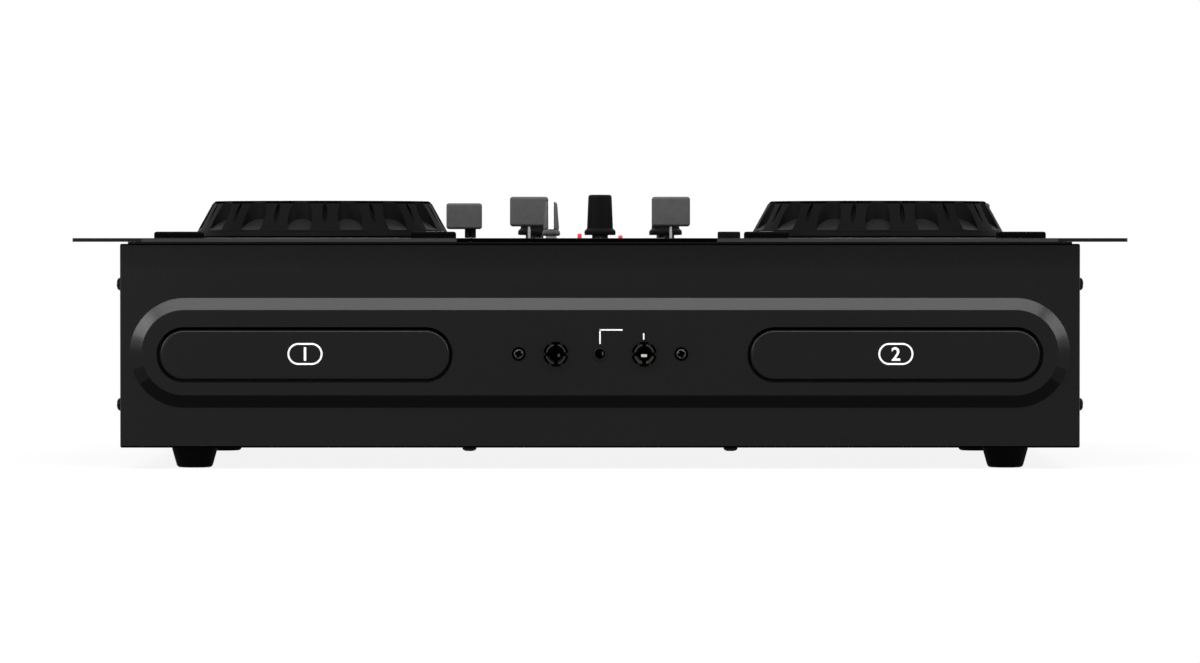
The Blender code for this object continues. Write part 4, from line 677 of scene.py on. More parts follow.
def lathe(profile, start, axis="Z", sides=64):
    """A turned form: the profile is (radius, height) down its outer side, from top to bottom."""
    bm = bmesh.new()
    chain = [bm.verts.new((radius, 0, height)) for radius, height in profile]
    edges = [bm.edges.new(pair) for pair in zip(chain, chain[1:])]
    bmesh.ops.spin(
        bm, geom=chain + edges, cent=(0, 0, 0), axis=(0, 0, 1), angle=2 * math.pi, steps=sides, use_merge=True
    )
    bmesh.ops.remove_doubles(bm, verts=bm.verts, dist=1e-7)
    bmesh.ops.transform(bm, matrix=Matrix.Translation(start) @ turn_to(axis), verts=bm.verts)
    bmesh.ops.recalc_face_normals(bm, faces=bm.faces)
    return bm


def ring(inner, outer, low, high, start, axis="Z", sides=48):
    """A turned ring with square edges, between two heights over its start."""
    profile = [(inner, high), (outer, high), (outer, low), (inner, low), (inner, high)]
    return lathe(profile, start, axis, sides)


def stadium(width, height, back, centre, rim, sides=96):
    """A form with round ends that faces -Y. Its rim is a list of (inward, outward) steps from its back."""
    bm = bmesh.new()
    half = (width - height) / 2
    depth = rim[0][1]
    bmesh.ops.create_cone(
        bm, cap_ends=True, segments=sides, radius1=height / 2, radius2=height / 2, depth=depth,
        matrix=Matrix.Rotation(math.pi / sides, 4, "Z"),
    )
    for vert in bm.verts:
        vert.co.x += math.copysign(half, vert.co.x)
    move = Matrix.Translation((centre[0], back - depth / 2, centre[1])) @ turn_to("-Y")
    bmesh.ops.transform(bm, matrix=move, verts=bm.verts)
    bmesh.ops.recalc_face_normals(bm, faces=bm.faces)
    cap = min(bm.faces, key=lambda face: face.calc_center_median().y)
    for (inner, out), (inner_next, out_next) in zip(rim, rim[1:]):
        bmesh.ops.inset_region(
            bm, faces=[cap], thickness=inner_next - inner, depth=out_next - out, use_even_offset=True
        )
    return bm


def gathered(shapes):
    """Several shapes in one."""
    whole = bmesh.new()
    for shape in shapes:
        mesh = bpy.data.meshes.new("shape")
        shape.to_mesh(mesh)
        shape.free()
        whole.from_mesh(mesh)
        bpy.data.meshes.remove(mesh)
    return whole


def fitted(shape, operation, others):
    """A shape with others joined to it or cut out of it."""
    stand_ins = []
    for bm in (shape, gathered(others)):
        mesh = bpy.data.meshes.new("stand_in")
        bm.to_mesh(mesh)
        bm.free()
        obj = bpy.data.objects.new("stand_in", mesh)
        bpy.context.scene.collection.objects.link(obj)
        stand_ins.append(obj)
    modifier = stand_ins[0].modifiers.new("fit", "BOOLEAN")
    modifier.operation = operation
    modifier.solver = "EXACT"
    modifier.use_self = True
    modifier.object = stand_ins[1]
    evaluated = stand_ins[0].evaluated_get(bpy.context.evaluated_depsgraph_get())
    result = bmesh.new()
    result.from_mesh(evaluated.to_mesh())
    evaluated.to_mesh_clear()
    for obj in stand_ins:
        mesh = obj.data
        bpy.data.objects.remove(obj)
        bpy.data.meshes.remove(mesh)
    bmesh.ops.remove_doubles(result, verts=result.verts, dist=1e-6)
    return result


def cut(shape, *cutters):
    return fitted(shape, "DIFFERENCE", cutters)


def joined(shape, *others):
    return fitted(shape, "UNION", others)


def moved(shape, matrix):
    bmesh.ops.transform(shape, matrix=matrix, verts=shape.verts)
    if matrix.determinant() < 0:
        bmesh.ops.reverse_faces(shape, faces=shape.faces)
    return shape


def from_data(data):
    """The mesh of a text or a flat curve, as a shape."""
    obj = bpy.data.objects.new("drawn", data)
    bpy.context.scene.collection.objects.link(obj)
    evaluated = obj.evaluated_get(bpy.context.evaluated_depsgraph_get())
    bm = bmesh.new()
    bm.from_mesh(evaluated.to_mesh())
    evaluated.to_mesh_clear()
    bpy.data.objects.remove(obj)
    bmesh.ops.remove_doubles(bm, verts=bm.verts, dist=1e-7)
    return bm


def numeral(text, height, place, thickness, upright=False, bold=0.0):
    """A number or sign, flat on the plate, or upright on the front, centred on its place."""
    data = bpy.data.curves.new("numeral", "FONT")
    data.body = text
    data.size = height / 0.72
    data.offset = height * bold
    data.extrude = thickness / 2
    data.align_x = "CENTER"
    bm = from_data(data)
    bpy.data.curves.remove(data)
    low = min(vert.co.y for vert in bm.verts)
    high = max(vert.co.y for vert in bm.verts)
    turn = turn_to("-Y") if upright else Matrix()
    return moved(bm, Matrix.Translation(place) @ turn @ Matrix.Translation((0, -(low + high) / 2, 0)))


def flat_sheet(outlines, bottom, thickness, edge):
    """A sheet with rounded edges: the first outline is its edge and the others are its holes."""
    curve = bpy.data.curves.new("outline", "CURVE")
    curve.dimensions = "2D"
    curve.fill_mode = "BOTH"
    curve.extrude = thickness / 2 - edge
    curve.bevel_depth = edge
    curve.bevel_resolution = 1
    curve.offset = -edge
    for index, outline in enumerate(outlines):
        spline = curve.splines.new("POLY")
        spline.points.add(len(outline) - 1)
        spline.use_cyclic_u = True
        order = outline if index == 0 else reversed(outline)
        for point, (x, y) in zip(spline.points, order):
            point.co = (x, y, 0, 1)
    bm = from_data(curve)
    bpy.data.curves.remove(curve)
    return moved(bm, Matrix.Translation((0, 0, bottom + thickness / 2)))


def outline(x, y, width, depth, corner=0.0, steps=6):
    """A rectangle's outline, with its corners rounded if a radius is given."""
    if not corner:
        return [(x + i * width / 2, y + j * depth / 2) for i, j in ((-1, -1), (1, -1), (1, 1), (-1, 1))]
    points = []
    for quarter, (i, j) in enumerate(((1, 1), (-1, 1), (-1, -1), (1, -1))):
        for step in range(steps + 1):
            angle = math.pi / 2 * (quarter + step / steps)
            points.append((
                x + i * (width / 2 - corner) + corner * math.cos(angle),
                y + j * (depth / 2 - corner) + corner * math.sin(angle),
            ))
    return points


def cross_screw(radius, height, centre, axis, arm_share=0.17, turn=0.5):
    """A pan head with a cross recess, standing on its centre along an axis."""
    head = lathe(
        [(0, height), (radius * 0.45, height * 0.97), (radius * 0.8, height * 0.78),
         (radius * 0.97, height * 0.45), (radius, height * 0.12), (radius * 0.97, 0), (0, 0)],
        (0, 0, 0), "Z", 32,
    )
    arm, thin, deep = radius * 0.66, radius * arm_share, height * 0.75
    bars = [
        slab((0, 0, height), (2 * arm, 2 * thin, 2 * deep)),
        slab((0, 0, height), (2 * thin, 2 * arm, 2 * deep)),
    ]
    place = Matrix.Translation(centre) @ turn_to(axis) @ Matrix.Rotation(turn, 4, "Z")
    return moved(cut(head, joined(*bars)), place)


class Piece:
    """One piece of the player: shapes gathered in one mesh, each in its own finish."""

    def __init__(self, name, body="console", slot="plastic", stands_for=()):
        self.name, self.body, self.slot, self.stands_for = name, body, slot, stands_for
        self.mesh = bmesh.new()
        self.finishes = []

    def add(self, finish, *shapes):
        if finish not in self.finishes:
            self.finishes.append(finish)
        shape = gathered(shapes)
        for face in shape.faces:
            face.material_index = self.finishes.index(finish)
        mesh = bpy.data.meshes.new("shape")
        shape.to_mesh(mesh)
        shape.free()
        self.mesh.from_mesh(mesh)
        bpy.data.meshes.remove(mesh)
        return self

    def repaint(self, finish, test):
        """Gives the faces whose middle passes the test another finish."""
        if finish not in self.finishes:
            self.finishes.append(finish)
        for face in self.mesh.faces:
            if test(face):
                face.material_index = self.finishes.index(finish)
        return self

    def done(self, angle=32):
        data = bpy.data.meshes.new(self.name)
        self.mesh.to_mesh(data)
        self.mesh.free()
        for finish in self.finishes:
            data.materials.append(finish)
        data.polygons.foreach_set("use_smooth", [True] * len(data.polygons))
        data.set_sharp_from_angle(angle=math.radians(angle))
        obj = bpy.data.objects.new(self.name, data)
        bpy.context.scene.collection.objects.link(obj)
        even = obj.modifiers.new("even_shading", "WEIGHTED_NORMAL")
        even.keep_sharp = True
        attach(obj, self.body)
        if self.stands_for:
            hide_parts(*self.stands_for)
        return obj


def softened(node, finish, body, slot, width, segments=2):
    """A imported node's own form with its edges rounded."""
    bm = bmesh.new()
    bm.from_mesh(frame["nodes"][node].data)
    bmesh.ops.remove_doubles(bm, verts=bm.verts, dist=1e-6)
    bmesh.ops.dissolve_limit(
        bm, angle_limit=math.radians(1), use_dissolve_boundaries=False, verts=bm.verts, edges=bm.edges
    )
    piece = Piece(node + "_form", body, slot, (node,))
    return piece.add(finish, soften(bm, width, segments))


def dress(node, finish):
    """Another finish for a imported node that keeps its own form."""
    for place in frame["nodes"][node].material_slots:
        place.material = finish


# Places of the controls

def wheel_centre(side):
    """The axis of a deck's jog wheel."""
    name = "jog_spin_" + ("left" if side < 0 else "right")
    joint = next(joint for joint in frame["joints"] if joint["name"] == name)
    return joint["pos_m"][0], joint["pos_m"][1]


def pitch_slot(label):
    """Where a pitch fader's slot is across the plate: beside its cap's middle."""
    return Box(f"pitch_fader_{label}").middle.x + 0.0030


def keys():
    """Every key as its name, middle, width and depth over the plate."""
    flange = 0.0008
    for name in ("cue_pad_left", "play_pad_left", "cue_pad_right", "play_pad_right",
                 "eject_button_left", "eject_button_right", "source_button"):
        box = Box(name)
        yield name, box, box.size.x - 2 * flange, box.size.y - 2 * flange


def knobs():
    jobs = ("bass", "middle", "treble", "gain")
    names = [f"knob_{job}_{label}" for _, label in SIDES for job in jobs]
    return [(name, Box(name)) for name in names + ["knob_master", "knob_phones", "knob_mic"]]


def fader_run(name, axis):
    """Where a fader's lever can go: the middle of its way, and the way's length."""
    joint = next(joint for joint in frame["joints"] if joint["name"] == name)
    low, high = joint["range_m"]
    node = name.replace("_slide", "") if name == "crossfader_slide" else name.replace("_slide_", "_fader_")
    middle = Box(node).middle[axis] + (low + high) / 2
    return middle, high - low


# Operators

class PLAYER_OT_case(bpy.types.Operator):
    """Case of folded sheet with its raised front band, openings and screws"""

    bl_idname = "player.case"
    bl_label = "Case"

    def execute(self, context):
        size = sizes()
        sheet = size.sheet
        front, rear = CASE.low.y + size.band_rise, CASE.high.y
        low, top = CASE.low.z - 0.0002, PLATE.low.z - 0.0007
        lip_top = PLATE.low.z + 0.00017
        band_width = CASE.size.x - 0.0085
        middle = Box("tray_door_left").middle.z + 0.0009
        slope = [(0.035, 0.010), (0.07, 0.040), (0.5, 0.5), (0.93, 0.960), (0.965, 0.990), (1.0, 1.0)]

        def band(inset, base):
            rim = [(0, base)] + [(size.band_slope * i, base + size.band_rise * o) for i, o in slope]
            width, height = band_width - 2 * inset, size.band_height - 2 * inset
            return stadium(width, height, front + inset + base, (0, middle), rim, 128)

        def inside(inset, z0, z1):
            return block((CASE.low.x + inset, front + inset, z0), (CASE.high.x - inset, rear - inset, z1))

        shell = block((CASE.low.x, front, low), (CASE.high.x, rear, top), size.case_edge, 4)
        shell = joined(shell, band(0, 0.0005), inside(0.0034, top - sheet, lip_top))
        cutters = [inside(sheet, low + sheet, top - sheet), inside(0.0064, top - 2 * sheet, lip_top + 0.002)]
        cutters.append(band(sheet, 0.002))
        for _, label in SIDES:
            door = Box(f"tray_door_{label}")
            gap = 2 * size.door_gap
            cutters.append(stadium(
                door.size.x + gap, door.size.z + gap, front + 0.004, (door.middle.x, door.middle.z),
                [(0, 0.012)],
            ))
        for name, radius in (("mic_jack", 0.0048), ("phones_jack", 0.0048), ("phones_mini_jack", 0.0033)):
            jack = Box(name).middle
            cutters.append(rod(radius, (jack.x, CASE.low.y - 0.002, jack.z), 0.010, "Y"))
        bank, inlet = Box("rca_bank"), Box("power_inlet")
        for place, width, height in ((bank, bank.size.x - 0.006, bank.size.z - 0.006),
                                     (inlet, inlet.size.x - 0.005, inlet.size.z - 0.005)):
            cutters.append(slab((place.middle.x, rear, place.middle.z), (width, 0.006, height)))
        piece = Piece("case_shell", "console", "case", ("chassis",))
        piece.add(powder_coat(), cut(shell, *cutters))

        def on_fold(face):
            """The case's lower front bend."""
            spot = face.calc_center_median()
            edge = spot.z < low + size.case_edge and spot.y < front + 0.002
            return edge and -0.99 < face.normal.y < -0.1

        def turned_down(least, most):
            """The faces of the band's slope that lean to the floor by such a share."""
            def test(face):
                spot = face.calc_center_median()
                below = spot.y < front + 0.0005 and low + 0.01 < spot.z < middle
                return below and -0.97 < face.normal.y < -0.3 and least <= -face.normal.z < most
            return test

        # Painted shade: the band's lower slope darker where it leans to the floor, and the case's lower front
        # bend dead black.
        piece.repaint(coat_painted_shade(0.65), turned_down(0.16, 0.30))
        piece.repaint(coat_painted_shade(0.33), turned_down(0.30, 1))
        piece.repaint(deep_black(), on_fold).done(28)

        screws = Piece("case_screws", "console", "case")
        heads = []
        for side, _ in SIDES:
            for y in (PLATE.low.y + 0.014, rear - 0.012):
                for z in (0.0848, 0.0295):
                    axis = "X" if side > 0 else "-X"
                    place = (side * CASE.high.x, y, z)
                    heads.append(cross_screw(size.screw_radius, size.screw_height, place, axis))
            for y in (PLATE.low.y + 0.013, rear - 0.030):
                heads.append(cross_screw(0.0033, 0.0018, (side * 0.060, y, low), "-Z"))
            for y in (PLATE.low.y + 0.014, PLATE.low.y + 0.176):
                for x in (0.067, 0.199):
                    heads.append(cross_screw(0.003, 0.0016, (side * x, y, low + 0.0013), "-Z"))
            heads.append(cross_screw(0.0025, 0.0014, (side * 0.012 - 0.120, rear, 0.0800), "Y"))
        screws.add(key_rubber(), *heads).done()
        return {"FINISHED"}


class PLAYER_OT_top_plate(bpy.types.Operator):
    """Top plate with its rack slots and the openings of every control"""

    bl_idname = "player.top_plate"
    bl_label = "Top plate"

    def execute(self, context):
        size = sizes()
        outlines = [outline(PLATE.middle.x, PLATE.middle.y, PLATE.size.x, PLATE.size.y, 0.002)]
        for i in (-1, 1):
            for j in (-1, 1):
                outlines.append(outline(i * 0.23255, j * 0.09525, 0.0103, 0.0068, 0.0033))
        for _, box, width, depth in keys():
            outlines.append(outline(box.middle.x, box.middle.y, width + HOLE_PLAY, depth + HOLE_PLAY, 0.0003))
        for _, box in knobs():
            outlines.append(outline(box.middle.x, box.middle.y, 0.0088, 0.0088, 0.0043))
        for side, label in SIDES:
            outlines.append(outline(*wheel_centre(side), 0.0166, 0.0166, 0.0082))
            skip = Box(f"skip_rocker_{label}")
            outlines.append(outline(skip.middle.x, skip.middle.y, skip.size.x + 0.0012, 0.0092, 0.0004))
            panel = Box(f"display_{label}")
            wide, deep = panel.size.x - 0.0054, panel.size.y - 0.0054
            outlines.append(outline(panel.middle.x, panel.middle.y, wide, deep))
            pitch_y, pitch_way = fader_run(f"pitch_slide_{label}", 1)
            slot_x, slot_way = pitch_slot(label), pitch_way + SLOT_END
            outlines.append(outline(slot_x, pitch_y, SLOT_WIDTH, slot_way, SLOT_CORNER))
            fader_y, way = fader_run(f"channel_slide_{label}", 1)
            fader_x = Box(f"channel_fader_{label}").middle.x
            outlines.append(outline(fader_x, fader_y, SLOT_WIDTH, way + SLOT_END, SLOT_CORNER))
        cross_x, cross_way = fader_run("crossfader_slide", 0)
        outlines.append(outline(cross_x, Box("crossfader").middle.y, cross_way + SLOT_END, 0.0032, 0.0015))
        low = PLATE.low.z + 0.0002
        sheet = flat_sheet(outlines, low, TOP - low, size.plate_edge)
        piece = Piece("plate_sheet", "console", "case", ("top_plate",)).add(powder_coat(), sheet)
        # Painted highlight on the front edge under the decks, and painted shade, dead black, on it under the
        # mixer.
        for start, end, finish in ((-0.2095, -0.0655, edge_sheen()), (-0.0655, 0.0535, deep_black()),
                                   (0.0535, 0.2093, edge_sheen())):
            near, far = PLATE.low.y - 0.0001, PLATE.low.y + 0.0003
            piece.add(finish, block((start, near, low), (end, far, TOP - 0.0002)))
        piece.done(50)
        return {"FINISHED"}


class PLAYER_OT_print(bpy.types.Operator):
    """Printed scales, lines and numbers of the plate and the front"""

    bl_idname = "player.print"
    bl_label = "Print"

    def execute(self, context):
        size = sizes()
        line, thick, tall = size.line, size.ink, size.numeral
        z = TOP + thick / 2
        marks = []

        def mark(x, y, width, depth, angle=0.0, at=(0, 0)):
            shape = slab((x, y, 0), (width, depth, thick))
            turn = Matrix.Rotation(angle, 4, "Z")
            marks.append(moved(shape, Matrix.Translation((at[0], at[1], z)) @ turn))

        def number(text, x, y, height=tall):
            marks.append(numeral(text, height, (x, y, z), thick))

        for _, box in knobs():
            at = (box.middle.x, box.middle.y)
            for step in range(11):
                angle = math.radians(150 - 30 * step)
                reach = 0.0017 if step % 5 == 0 else 0.0011
                mark(0, 0.0088 + reach / 2, line, reach, angle, at)
            number("0", at[0] - 0.0072, at[1] - 0.0092, tall * 0.8)
            number("10", at[0] + 0.0076, at[1] - 0.0092, tall * 0.8)
        for side, label in SIDES:
            x = Box(f"channel_fader_{label}").middle.x
            y, way = fader_run(f"channel_slide_{label}", 1)
            for step in range(11):
                place = y - way / 2 + way * step / 10
                long = 0.005 if step % 5 == 0 else 0.003
                for hand in (-1, 1):
                    mark(x + hand * (0.0032 + long / 2), place, long, line)
            for text, share in (("0", 0), ("5", 0.5), ("10", 1)):
                number(text, x - side * 0.0118, y - way / 2 + way * share)
            x = pitch_slot(label)
            y, way = fader_run(f"pitch_slide_{label}", 1)
            for step in range(13):
                place = y - way / 2 + way * step / 12
                long = 0.006 if step % 6 == 0 else 0.0035
                for hand in (-1, 1):
                    mark(x + hand * (0.0034 + long / 2), place, long, line)
            number("-", x, y + way / 2 + 0.0085, tall)
            number("+", x, y - way / 2 - 0.0080, tall)
            number("0", x + 0.0120, y)
            circle = ring(0.0605, 0.0605 + line, 0, thick, (0, 0, 0), "Z", 128)
            centre = wheel_centre(side)
            marks.append(moved(circle, Matrix.Translation((*centre, TOP))))
            for step in range(30):
                mark(0, 0.0628, line, 0.0016, 2 * math.pi * step / 30, centre)
        x, way = fader_run("crossfader_slide", 0)
        y = Box("crossfader").middle.y
        for step in range(9):
            long = 0.0045 if step % 4 == 0 else 0.0025
            mark(x - way / 2 + way * step / 8, y + 0.0032 + long / 2, line, long)
        for text, share in (("1", 0), ("2", 1)):
            number(text, x - way / 2 + way * share, y + 0.0102)
        Piece("plate_print", "console", "case").add(ink(), *marks).done()

        y = CASE.low.y - thick
        bracket = [
            ((0.0000, 0.0608), (line * 1.6, 0.0066)),
            ((0.0050, 0.0639), (0.0106, line * 1.6)),
            ((0.0200, 0.0609), (line * 1.6, 0.0029)),
        ]
        front = [slab((bx, y, bz), (width, 2 * thick, height)) for (bx, bz), (width, height) in bracket]
        Piece("front_print", "console", "case").add(ink(), *front).done()
        return {"FINISHED"}


class PLAYER_OT_tray_doors(bpy.types.Operator):
    """Tray doors with round ends, each with its deck's number"""

    bl_idname = "player.tray_doors"
    bl_label = "Tray doors"

    def execute(self, context):
        size = sizes()
        for side, label in SIDES:
            door = Box(f"tray_door_{label}")
            straight = door.size.y - size.door_edge
            rim = [(0, straight)]
            for step in range(1, 6):
                angle = math.pi / 2 * step / 5
                inward = size.door_edge * (1 - math.cos(angle))
                rim.append((inward, straight + size.door_edge * math.sin(angle)))
            form = stadium(door.size.x, door.size.z, door.high.y, (door.middle.x, door.middle.z), rim)
            piece = Piece(f"door_{label}", f"tray_{label}", "case", (f"tray_door_{label}",))
            piece.add(powder_coat(), form)
            y = door.low.y
            at = (door.middle.x + 0.0002, y, door.middle.z + 0.0004)
            line, back = 2 * size.line, y + size.ink
            wide, tall = size.badge_width, size.badge_height
            middle = (at[0], at[2])
            inner_rim, outer_rim = [(0, 4 * size.ink)], [(0, 2 * size.ink)]
            inside = stadium(wide - 2 * line, tall - 2 * line, back + size.ink, middle, inner_rim)
            field = cut(stadium(wide, tall, back, middle, outer_rim), inside)
            text = "1" if side < 0 else "2"
            figure = numeral(text, tall * 0.62, at, 2 * size.ink, True, 0.02)
            piece.add(badge_white(), field, figure).done(40)
        return {"FINISHED"}


class PLAYER_OT_disc_trays(bpy.types.Operator):
    """Disc trays with their two recesses and their slot"""

    bl_idname = "player.disc_trays"
    bl_label = "Disc trays"

    def execute(self, context):
        for _, label in SIDES:
            tray, spindle = Box(f"disc_tray_{label}"), Box(f"turntable_{label}").middle
            x, y = spindle.x, spindle.y
            top, through = tray.high.z, tray.size.z + 0.004

            def upright(edge):
                return abs(edge.verts[0].co.z - edge.verts[1].co.z) < 1e-4

            form = block(tray.low, tray.high, 0.006, 8, upright)
            form = cut(
                form,
                rod(0.061, (x, y, top - 0.003), 0.005, sides=160),
                rod(0.041, (x, y, top - 0.0045), 0.005, sides=128),
            )
            form = cut(
                form,
                rod(0.018, (x, y, tray.low.z - 0.002), through, sides=72),
                block((x - 0.018, y, tray.low.z - 0.002), (x + 0.018, tray.high.y + 0.002, top + 0.002)),
            )
            soften(form, 0.0004, 2, angle=60)
            piece = Piece(f"tray_{label}_form", f"tray_{label}", "plastic", (f"disc_tray_{label}",))
            piece.add(frame_moulding(), form).done(40)
        return {"FINISHED"}


class PLAYER_OT_jog_wheels(bpy.types.Operator):
    """Jog wheels with finger hollows round their sloping sides"""

    bl_idname = "player.jog_wheels"
    bl_label = "Jog wheels"

    def execute(self, context):
        size = sizes()
        count = 15
        for side, label in SIDES:
            jog = Box(f"jog_wheel_{label}")
            x, y = wheel_centre(side)
            turn = math.radians(4.1 if side < 0 else 9.2)
            top, bottom = jog.high.z, TOP + 0.0004
            radius, rim, skirt = 0.0588, 0.0509, bottom + 0.0027
            slope = (radius - rim) / (top - skirt)
            ledge = skirt + 0.0004
            profile = [
                (0, top - 0.0010), (0.0441, top - 0.0010), (0.0447, top - 0.0004), (0.0451, top),
                (rim - 0.0009, top), (rim - 0.0003, top - 0.0003), (rim + 0.0002, top - 0.0009),
                (rim + 0.0012 * slope, top - 0.0012), (radius - 0.0002, skirt + 0.0003),
                (radius, skirt - 0.0003), (radius, bottom + 0.0006), (radius - 0.0005, bottom),
                (0.005, bottom), (0.005, jog.low.z), (0, jog.low.z),
            ]
            form = lathe(profile, (0, 0, 0), "Z", 240)
            cutters = []
            centre = rim - size.hollow_depth + size.hollow_radius
            lean = math.atan2(radius - rim, top - skirt)
            edge, way = Vector((rim, 0, top)), Vector((math.sin(lean), 0, -math.cos(lean)))
            floor = edge - Vector((math.cos(lean), 0, math.sin(lean))) * size.groove_depth
            line = edge + way * 0.0118 - floor
            reach = line.length
            line /= reach
            start = floor + Vector((-line.z, 0, line.x)) * size.groove_radius - line * 0.003
            for index in range(count):
                hollow = rod(size.hollow_radius, (centre, 0, ledge), top - ledge + 0.003, sides=72)
                for vert in hollow.verts:
                    if vert.co.z < ledge + 1e-5:
                        vert.co.z += 0.0002 + (radius - slope * (ledge - skirt) - vert.co.x) * 0.6
                angle = 2 * math.pi * (index + 0.5) / count - math.pi / 2 + turn
                cutters.append(moved(hollow, Matrix.Rotation(angle, 4, "Z")))
                groove = rod(size.groove_radius, (0, 0, 0), reach + 0.006, sides=24)
                moved(groove, Matrix.Translation(start) @ Matrix.Rotation(math.atan2(line.x, line.z), 4, "Y"))
                cutters.append(moved(groove, Matrix.Rotation(angle + math.pi / count, 4, "Z")))
            form = cut(form, *cutters)
            dish = 0.0190
            ball = bmesh.new()
            bmesh.ops.create_uvsphere(
                ball, u_segments=64, v_segments=48, radius=dish,
                matrix=Matrix.Translation((0, 0.031, top - 0.0010 - 0.0035 + dish)),
            )
            form = moved(cut(form, ball), Matrix.Translation((x, y, 0)))
            piece = Piece(f"wheel_{label}", f"jog_wheel_{label}", "plastic", (f"jog_wheel_{label}",))
            piece.add(wheel_grip(), form)

            def on_top(face):
                middle = face.calc_center_median()
                return middle.z > top - 0.006 and math.hypot(middle.x - x, middle.y - y) < 0.0442

            def on_rim(face):
                middle = face.calc_center_median()
                return middle.z > top - 0.0012 and math.hypot(middle.x - x, middle.y - y) > rim - 0.0014

            def sunk(face):
                """How deep a face lies under the cone, and how far beside the nearest groove's middle."""
                middle = face.calc_center_median()
                away = math.hypot(middle.x - x, middle.y - y)
                share = (math.atan2(middle.y - y, middle.x - x) + math.pi / 2 - turn) * count / (2 * math.pi)
                aside = abs(share - round(share)) * 2 * math.pi / count * away
                return rim + (top - middle.z) * slope - away, aside

            def on_ledge(face):
                height = face.calc_center_median().z
                deep, aside = sunk(face)
                lit = face.normal.z > 0.3 and skirt < height < ledge + 0.004
                return lit and deep > 0.0002 and aside > size.groove_radius

            def on_skirt(face):
                return abs(face.normal.z) < 0.3 and bottom < face.calc_center_median().z < skirt

            def in_hollow(face):
                deep, aside = sunk(face)
                inside = deep > 0.0002 and skirt < face.calc_center_median().z < top - 0.0001
                return inside and aside > size.groove_radius and abs(face.normal.z) < 0.3

            def in_groove(face):
                deep, aside = sunk(face)
                height = face.calc_center_median().z
                return deep > 0.0002 and aside < size.groove_radius and skirt + 0.0004 < height < top - 0.0001

            # Painted light and shade: the upward ledges, the skirt's upright faces and the hollows' walls
            # lighter, the grooves darker and the rim's top edge dead black.
            piece.repaint(wheel_ledge(), on_ledge)
            piece.repaint(wheel_grip(2.2), on_skirt)
            piece.repaint(wheel_grip(1.6), in_hollow)
            piece.repaint(wheel_grip(0.4), in_groove)
            piece.repaint(wheel_top(side), on_top)
            piece.repaint(deep_black(), on_rim)
            base = lathe([(0.0500, 0.0005), (0.0581, 0.0005), (0.0583, 0.0003), (0.0583, 0.0), (0.0500, 0.0),
                          (0.0500, 0.0005)], (x, y, TOP), "Z", 160)
            Piece(f"wheel_base_{label}", "console", "plastic").add(deep_black(), base).done()
            dot = rod(0.0011, (x, y + 0.0482, top - 0.0002), 0.0002 + size.ink, sides=32)
            piece.add(ink(), dot).done(24)
        return {"FINISHED"}


class PLAYER_OT_keys(bpy.types.Operator):
    """Cue and play pads, eject buttons, the source button and the track rockers"""

    bl_idname = "player.keys"
    bl_label = "Keys"

    def execute(self, context):
        size = sizes()
        for name, box, width, depth in keys():
            x, y, top = box.middle.x, box.middle.y, box.high.z
            pad = "pad" in name
            edge = size.pad_edge if pad else size.key_edge
            under = PLATE.low.z - 0.0003

            def low_edge(e):
                return min(v.co.z for v in e.verts) < PLATE.low.z

            body = block((x - width / 2, y - depth / 2, under - 0.0006), (x + width / 2, y + depth / 2, top),
                         edge, 4, low_edge)
            flange = block(box.low, (box.high.x, box.high.y, under))
            piece = Piece(name + "_form", name, "plastic", (name,))
            piece.add(pad_rubber() if pad else key_rubber(), body, flange)
            self.sign(piece, name, x, y, top, depth)
            piece.done()
        for _, label in SIDES:
            name = f"skip_rocker_{label}"
            piece = softened(name, key_rubber(), name, "plastic", 0.0003)
            box = Box(name)
            marks = []
            for hand in (-1, 1):
                for step in (0.0065, 0.0088):
                    tip = box.middle.x + hand * step
                    marks.append(self.arrow(tip, box.middle.y, box.high.z, 0.0011, hand))
                marks.append(slab((box.middle.x + hand * 0.0103, box.middle.y, box.high.z),
                                  (0.0004, 0.0020, 2 * size.ink)))
            piece.add(ink(), *marks).done()
        return {"FINISHED"}

    def arrow(self, x, y, z, reach, hand):
        """A small arrow head that points along +X or -X, or along +Y if the hand is 0."""
        shape = rod(reach, (0, 0, -sizes().ink), 2 * sizes().ink, sides=3)
        turn = math.pi / 2 if hand > 0 else -math.pi / 2 if hand < 0 else math.pi
        return moved(shape, Matrix.Translation((x, y, z)) @ Matrix.Rotation(turn - math.pi, 4, "Z"))

    def sign(self, piece, name, x, y, top, depth):
        thick = sizes().ink
        lamp_place, lamp_size = (x, y + depth / 2 - 0.0030, top - 0.00015), (0.0060, 0.0012, 0.0004)
        if name.startswith("cue"):
            piece.add(ink(), ring(0.0026, 0.0031, -thick, thick, (x, y - 0.0005, top)))
            piece.add(lamp_amber(), slab(lamp_place, lamp_size))
        elif name.startswith("play"):
            marks = [self.arrow(x - 0.0022, y - 0.0005, top, 0.0027, 1)]
            for step in (0.0022, 0.0040):
                marks.append(slab((x + step, y - 0.0005, top), (0.0009, 0.0046, 2 * thick)))
            piece.add(ink(), *marks)
            piece.add(lamp_green(), slab(lamp_place, lamp_size))
        elif name.startswith("eject"):
            piece.add(ink(), self.arrow(x, y + 0.0004, top, 0.0016, 0),
                      slab((x, y - 0.0014, top), (0.0028, 0.0005, 2 * thick)))
        else:
            piece.add(ink(), slab((x, y + 0.0010, top), (0.0040, 0.0004, 2 * thick)),
                      slab((x, y - 0.0010, top), (0.0040, 0.0004, 2 * thick)))


